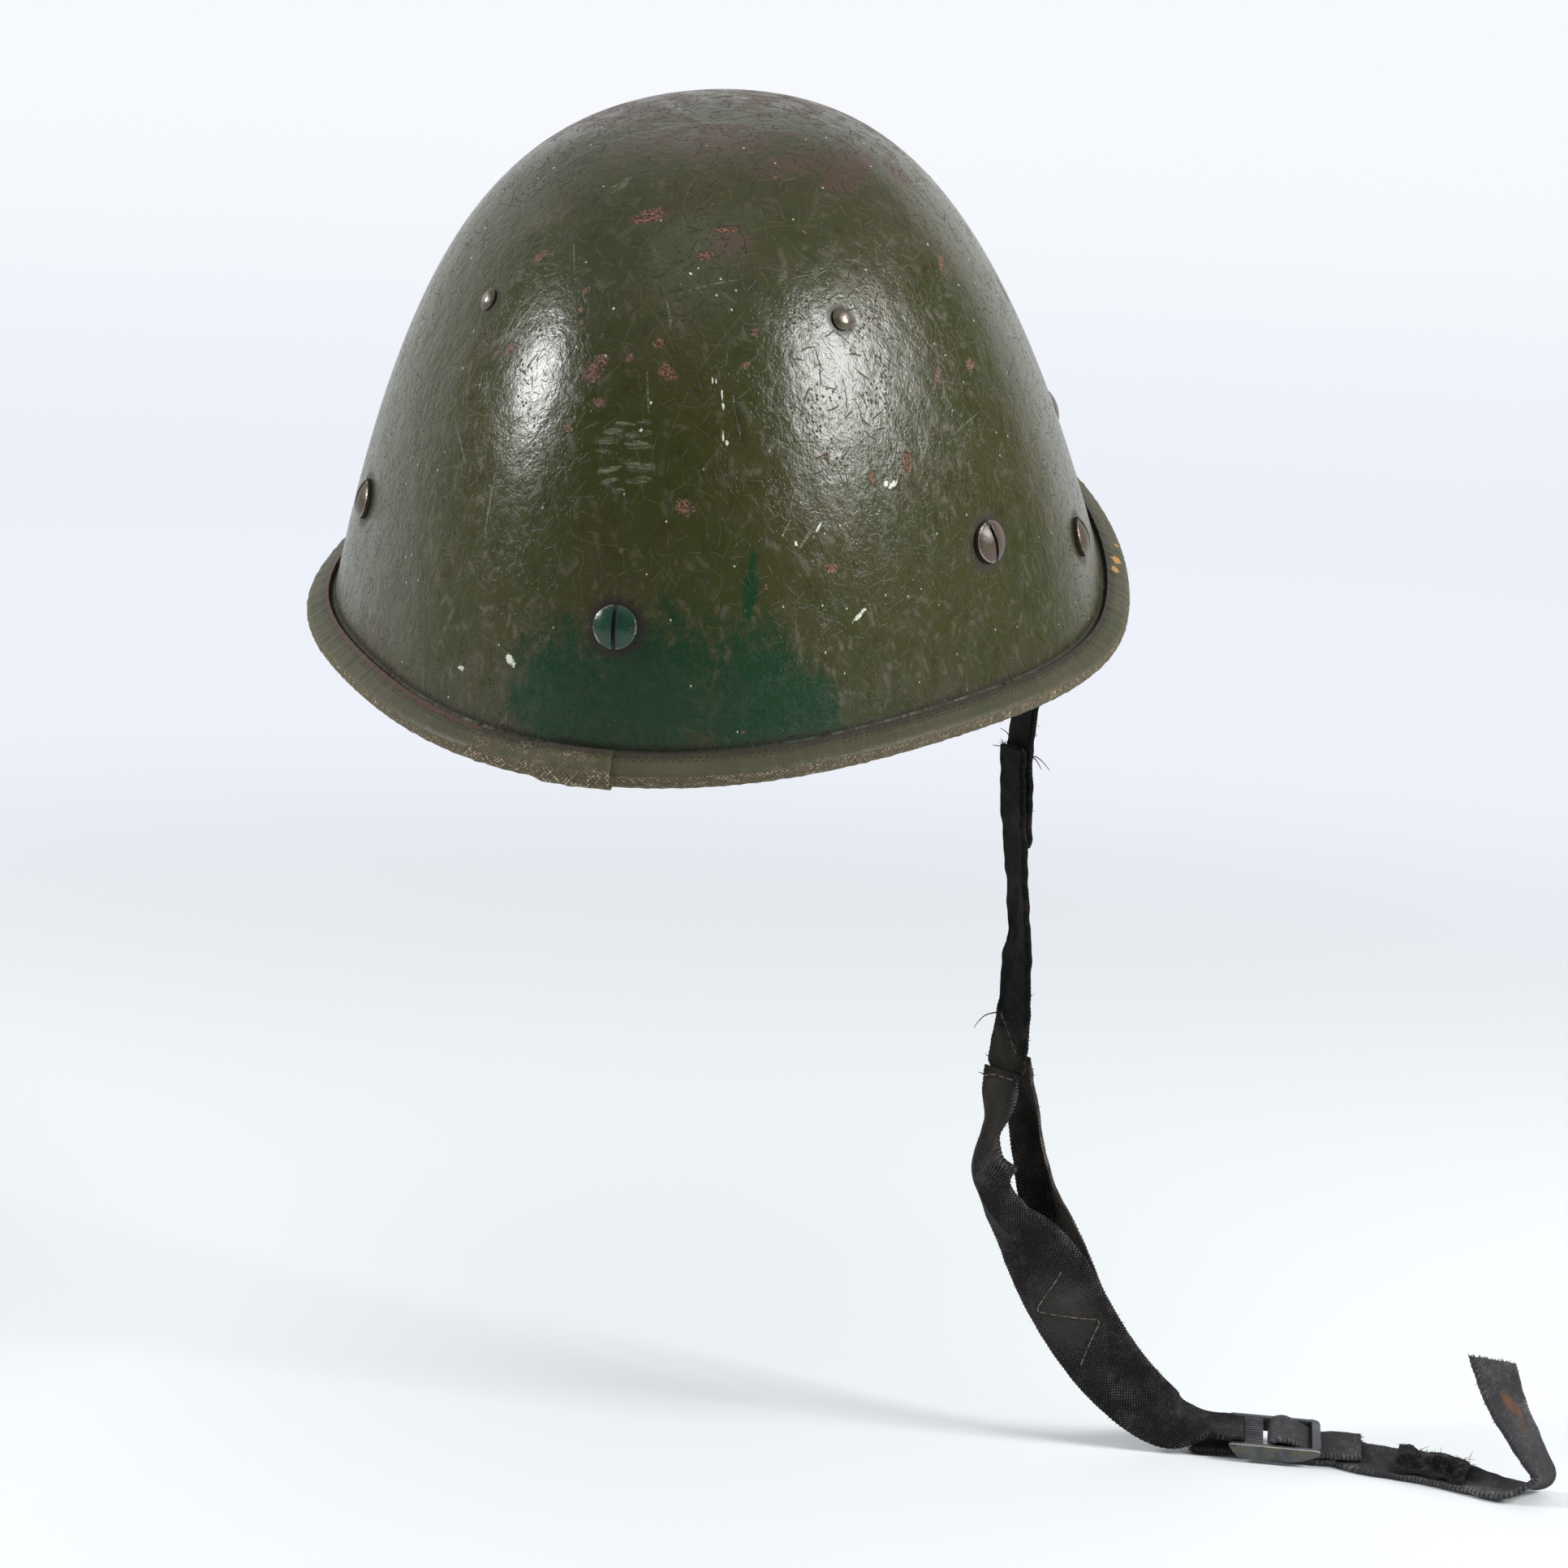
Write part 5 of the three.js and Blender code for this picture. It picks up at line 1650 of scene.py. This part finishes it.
def frayed_end(band, far, reach, count, seed, slant=0.0):
    """Short hairs out of the far or the near cut end of a band, along it and off it."""
    luck = np.random.default_rng(seed)
    a = luck.uniform(-0.5, 0.5, count)
    way = 1.0 if far else -1.0
    base = (band.length if far else 0.0) + slant * a
    _, along, across, face, _, _ = band.frame(base)
    root = band.point(base, a, luck.uniform(-0.4, 0.4, count) * WEB)
    push = along * way * luck.uniform(0.3, 1.0, (count, 1)) + across * luck.normal(0, 0.35, (count, 1))
    push = (push + face * luck.normal(0, 0.3, (count, 1))) * reach
    curl = (across * luck.normal(0, 0.3, (count, 1)) + face * luck.normal(0, 0.3, (count, 1))) * reach
    return [(r - 0.2 * p, r + 0.5 * p, r + p + c) for r, p, c in zip(root, push, curl)]


def edge_fuzz(band, count, seed, reach=0.0009):
    """Sparse hairs along both edges of a band."""
    luck = np.random.default_rng(seed)
    s = luck.uniform(0.002, band.length - 0.002, count)
    sign = np.where(luck.uniform(size=count) < 0.5, -1.0, 1.0)
    _, along, across, face, _, _ = band.frame(s)
    root = band.point(s, 0.49 * sign, luck.uniform(-0.3, 0.3, count) * WEB)
    push = across * (sign * luck.uniform(0.3, 1.0, count))[:, None]
    push = (push + along * luck.normal(0, 0.6, (count, 1)) + face * luck.normal(0, 0.4, (count, 1))) * reach
    return [(r - 0.2 * p, r + 0.5 * p, r + p + 0.3 * reach * f) for r, p, f in zip(root, push, face)]


def in_mm(*corners):
    return [np.array(corner) * MM for corner in corners]


LONG_THREADS = {
    "strap_tab": [
        in_mm((95.4, 0.6, -54.8), (94.1, 0, -54.4), (93.3, 0, -53.6), (92.2, 0, -52.0), (90.4, -0.5, -51.1)),
        in_mm((95.4, 0.6, -55.2), (94.1, 0, -55.8), (92.5, 0, -56.5), (90.0, 0, -56.7), (88.3, 0, -56.5)),
        in_mm((97.8, 6, -52.8), (99.3, 6, -53.0), (100.3, 6, -53.2), (101.0, 6, -53.7)),
        in_mm((98.4, 6, -60.6), (99.9, 6, -60.3), (101.2, 6, -60.1), (103.5, 6.5, -61.9), (105.4, 7, -64.3)),
        in_mm((98.4, 6, -60.6), (99.9, 6, -60.4), (101.5, 6, -61.3), (102.9, 6, -64.0)),
    ],
    "strap_upper": [
        in_mm((96.0, 2.5, -139.8), (94.5, 2, -140), (91, 2, -141), (88.9, 2, -143.1), (87.5, 2, -145.6)),
        in_mm((95.4, 2.6, -159.2), (93.9, 2, -159.5), (92.1, 2, -160.3), (89.8, 2, -159.6)),
        in_mm((95.4, 2.6, -159.4), (93.9, 2, -159.9), (92.7, 2, -161.4)),
    ],
}
# Number of hairs along the edges, and the seed that scatters them.
EDGE_HAIRS = {
    "strap_tab": (60, 31), "strap_upper": (90, 33), "chin_band_front": (140, 35),
    "chin_band_back": (70, 36), "strap_end": (110, 39),
}
# Whether the cut is at the far end, the hairs' reach, their number and seed, and the slant of the cut.
CUT_ENDS = {
    "strap_upper": [(False, 0.0016, 60, 32)],
    "chin_band_front": [(True, 0.0016, 50, 34)],
    "strap_end": [(True, 0.0009, 70, 37, END_SLANT), (False, 0.0012, 40, 38)],
}


def black_thread():
    thread = Finish("black_thread", {"Specular IOR Level": 0.25, "Roughness": 0.85})
    fade = thread.noise(thread.place(), 0.006, 3)
    thread.give({"Base Color": thread.mix(fade.ramp(0.35, 0.7), srgb(24, 24, 26), srgb(58, 54, 50))})
    return thread.material


hair = black_thread()
for strap, scatter in EDGE_HAIRS.items():
    paths = [path for cut in CUT_ENDS.get(strap, []) for path in frayed_end(bands[strap], *cut)]
    paths += edge_fuzz(bands[strap], *scatter)
    sew_on(strap, threads("fray_" + strap, paths, HAIR_RADIUS), hair)
for strap, paths in LONG_THREADS.items():
    sew_on(strap, threads("threads_" + strap, paths, THREAD_RADIUS), hair)
TOP_HAIRS, EDGE_HAIRS_OF_PATCH = 420, 60
hook_hairs = []
luck = np.random.default_rng(41)
for _ in range(TOP_HAIRS):
    s = np.array([luck.uniform(0.0, hook_band.length)])
    a = np.array([luck.triangular(-0.55, -0.4, 0.5)])
    root = hook_band.point(s, a, np.array([PATCH_THICKNESS / 2]))[0]
    push = luck.normal(0, 1, 3) * 0.0007 + face * 0.0004
    tip = root + push + luck.normal(0, 1, 3) * 0.0006
    hook_hairs.append((root - 0.2 * face * MM, root + 0.5 * push, tip))
for _ in range(EDGE_HAIRS_OF_PATCH):
    s = np.array([luck.uniform(0.0, hook_band.length)])
    root = hook_band.point(s, np.array([0.48]), np.array([0.0]))[0]
    push = luck.normal(0, 1, 3) * 0.0004 + face * 0.0003
    hook_hairs.append((root, root + 0.5 * push, root + push + luck.normal(0, 1, 3) * 0.0003))
hook_hairs += [
    in_mm((243.5, 20.4, -277.2), (246.2, 22.4, -276.6), (249, 24.2, -276.2), (251.2, 24.6, -276.6)),
    in_mm((243.5, 20.8, -277.4), (246.2, 23, -276.9), (248.8, 25.6, -276.3), (250, 27, -276)),
]
hook_fuzz = settle(threads("fray_hook_patch", hook_hairs, HAIR_RADIUS), hair, "hook_tape", smooth=80)

# %% [markdown]
# ## The buckle
# A small pressed buckle: two boat-shaped cheeks, a ribbed grip bar, a rounded end bar and two round bars that
# the webbing turns round. Each plate is a polygon that is moved onto its outline, extruded to its
# thickness and bevelled; the bars are cylinders. They are joined into one casting at the end.

# %% Buckle plates and bars
BUCKLE_HALF, BUCKLE_WIDTH, CHEEK, CHEEK_DEPTH = 14.5, 20.0, 1.6, 5.0
UPRIGHT = Matrix.Rotation(math.pi / 2, 4, "X")


def plate(name, outline, thickness, axes):
    """A polygon in millimetres, extruded by its thickness and bevelled, in the axes that are given."""
    bpy.ops.mesh.primitive_circle_add(vertices=len(outline), radius=1, fill_type="NGON")
    piece = named(name)
    around = np.argsort(np.arctan2(points_of(piece)[:, 1], points_of(piece)[:, 0]))
    flat = np.zeros((len(outline), 3))
    flat[around, :2] = np.array(outline) * MM
    put_points(piece, flat)
    edit(piece, "FACE")
    bpy.ops.mesh.select_all(action="SELECT")
    bpy.ops.mesh.extrude_region_move(TRANSFORM_OT_translate={"value": (0, 0, thickness * MM)})
    leave()
    face_outwards(piece)
    soften(piece, 0.00030, 3, 25)
    piece.data.transform(axes)
    face_outwards(piece)
    return piece


def round_bar_piece(name, along):
    span = (BUCKLE_WIDTH - CHEEK) * MM
    bpy.ops.mesh.primitive_cylinder_add(vertices=24, radius=BAR_RADIUS * MM, depth=span)
    piece = named(name)
    soften(piece, 0.0002, 2)
    piece.data.transform(Matrix.Translation(Vector((along, 0, -BAR_DEPTH)) * MM) @ UPRIGHT)
    return piece


CHEEK_OUTLINE = [
    (-BUCKLE_HALF, -0.9), (-14.1, -0.25), (-13.4, 0.0), (12.4, 0.0), (13.6, -0.15), (14.3, -0.7),
    (14.45, -1.2), (13.2, -2.4), (9.5, -3.9), (6.2, -4.8), (4.5, -CHEEK_DEPTH), (-10.2, -CHEEK_DEPTH),
    (-11.4, -4.7), (-13.0, -3.0),
][::-1]
pieces = []
for side in (-1, 1):
    shift = side * (BUCKLE_WIDTH - CHEEK) / 2 + CHEEK / 2
    axes = Matrix.Translation(Vector((0, shift, 0)) * MM) @ UPRIGHT
    pieces.append(plate("cheek", CHEEK_OUTLINE, CHEEK, axes))


def flat_bar(name, outline, top, thickness):
    return plate(name, outline, thickness, Matrix.Translation(Vector((0, 0, top - thickness)) * MM))


def block(left, right, low, high):
    return [(left, low), (right, low), (right, high), (left, high)]


HALF = BUCKLE_WIDTH / 2
CORNER, BAR_FRONT, BAR_NOTCH = 3.0, 11.4, 0.5
turned = BUCKLE_HALF - CORNER
bends = [math.radians(k) for k in (0, 18, 36, 54, 72, 90)]
end_bar = [(turned + CORNER * math.sin(b), -HALF + CORNER - CORNER * math.cos(b)) for b in bends]
end_bar += [(turned + CORNER * math.cos(b), HALF - CORNER + CORNER * math.sin(b)) for b in bends]
end_bar += [(BAR_FRONT, HALF), (BAR_FRONT, HALF - CHEEK), (BAR_FRONT + 0.4, HALF - CHEEK - BAR_NOTCH)]
end_bar += [(x, -y) for x, y in reversed(end_bar[-3:])]
pieces.append(flat_bar("end_bar", end_bar, 0.05, 1.7))
GRIP_LEFT, GRIP_RIGHT = -9.6, -3.6
inner = HALF - CHEEK / 2
pieces.append(flat_bar("grip_bar", block(GRIP_LEFT, GRIP_RIGHT, -inner, inner), -0.45, 2.6))
RIBS, RIB_PITCH, RIB_WIDTH, RIB_INSET = 12, 1.38, 0.72, 0.1
for i in range(RIBS):
    y = (i - (RIBS - 1) / 2) * RIB_PITCH
    rib = block(GRIP_LEFT + RIB_INSET, GRIP_RIGHT - RIB_INSET, y - RIB_WIDTH / 2, y + RIB_WIDTH / 2)
    pieces.append(flat_bar("rib", rib, 0.0, 0.7))
pieces += [round_bar_piece("round_bar", END_BAR), round_bar_piece("round_bar", LOOP_BAR)]
bpy.ops.object.select_all(action="DESELECT")
for piece in pieces:
    piece.select_set(True)
bpy.context.view_layer.objects.active = pieces[0]
bpy.ops.object.join()
buckle = named("ribbed_buckle")
corners = points_of(buckle)
lay_map(buckle, "buckle_map", np.stack([corners[:, 0], corners[:, 2] + corners[:, 1]], axis=-1))
buckle.data.transform(BUCKLE_FRAME)
print("buckle faces:", len(buckle.data.polygons))

# %% [markdown]
# The buckle's grey finish has patches of old olive paint on its cheeks and is rubbed bright along its edges.
# Edge wear can be found by comparing the true normal with a softened one, but the export can't bake that
# well, so the wear follows the map instead: it is strongest near the top edge of the cheeks.

# %% Grey buckle metal
def buckle_grey():
    metal = Finish("buckle_grey", {"Specular IOR Level": 0.5})
    at = metal.map("buckle_map")
    place = metal.place()
    along, up = metal.parts(at)
    stain = metal.noise(place, 0.005, 3)
    grain = metal.noise(place, 0.0007, 3, 0.65)
    drift = metal.noise(metal.moved(at, (0, 0, 0), 0.12, (0.006, 0.0016, 1)), 1.0, 2)
    side = abs(up + 0.0115).ramp(0.0030, 0.0022)
    patch = (drift + stain.swing(0.5)).ramp(0.52, 0.56) * side
    rub = abs(up + 0.0099).ramp(0.0006, 0.0001)
    rub = (rub * 0.9 + grain.swing(1.2) + stain.swing(0.6)).ramp(0.50, 0.85)
    metal.colour = metal.mix(stain.ramp(0.35, 0.65), srgb(66, 68, 72), srgb(88, 89, 92))
    metal.coat(patch * 0.85, srgb(88, 88, 62))
    metal.coat(rub, srgb(192, 190, 182))
    metal.give({
        "Base Color": metal.colour,
        "Metallic": 0.25 + rub * 0.6,
        "Roughness": 0.42 + grain.swing(0.25),
    })
    metal.relief(grain.swing(0.05) + patch * 0.03)
    return metal.material


settle(buckle, buckle_grey(), "buckle_metal", "buckle", smooth=35)

# %% [markdown]
# ## What the cloth is
# Webbing is cloth, and a library part says so: the size that each length was cut to, how it is held and
# what it rests on. The stitches and threads belong to the length that they are sewn into.

CHIN_FLAT = 0.0225
HELD = {
    "strap_tab": (NARROW, "hung", ["helmet_shell"]),
    "strap_upper": (NARROW, "hung", ["webbing_tab"]),
    "chin_band_front": (CHIN_FLAT, "hung", ["webbing_upper", "ribbed_buckle"]),
    "chin_band_back": (CHIN_FLAT, "hung", ["webbing_upper", "webbing_chin_front"]),
    "strap_end": (NARROW, "laid", ["ribbed_buckle"]),
}
for name, (width, held, rests) in HELD.items():
    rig.sheet(straps[name], (width, bands[name].length), held, rests, with_pieces=sewn.get(name, []))
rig.sheet(hook_patch, (PATCH_WIDTH, hook_band.length), "laid", ["webbing_loose_end"], with_pieces=[hook_fuzz])
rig.sheet(binding, (float(width_at[-1]), TAPE_LENGTH), "folded", ["helmet_shell"])
print("sheets declared:", len(HELD) + 2)

# %% Sizes, and the end
visual_box = [list(corner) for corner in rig.bounds()]
with open("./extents.json", "w") as size_file:
    json.dump({"cad": cad_box, "visual": visual_box}, size_file)
print("CAD box", cad_box)
print("visual box", visual_box)
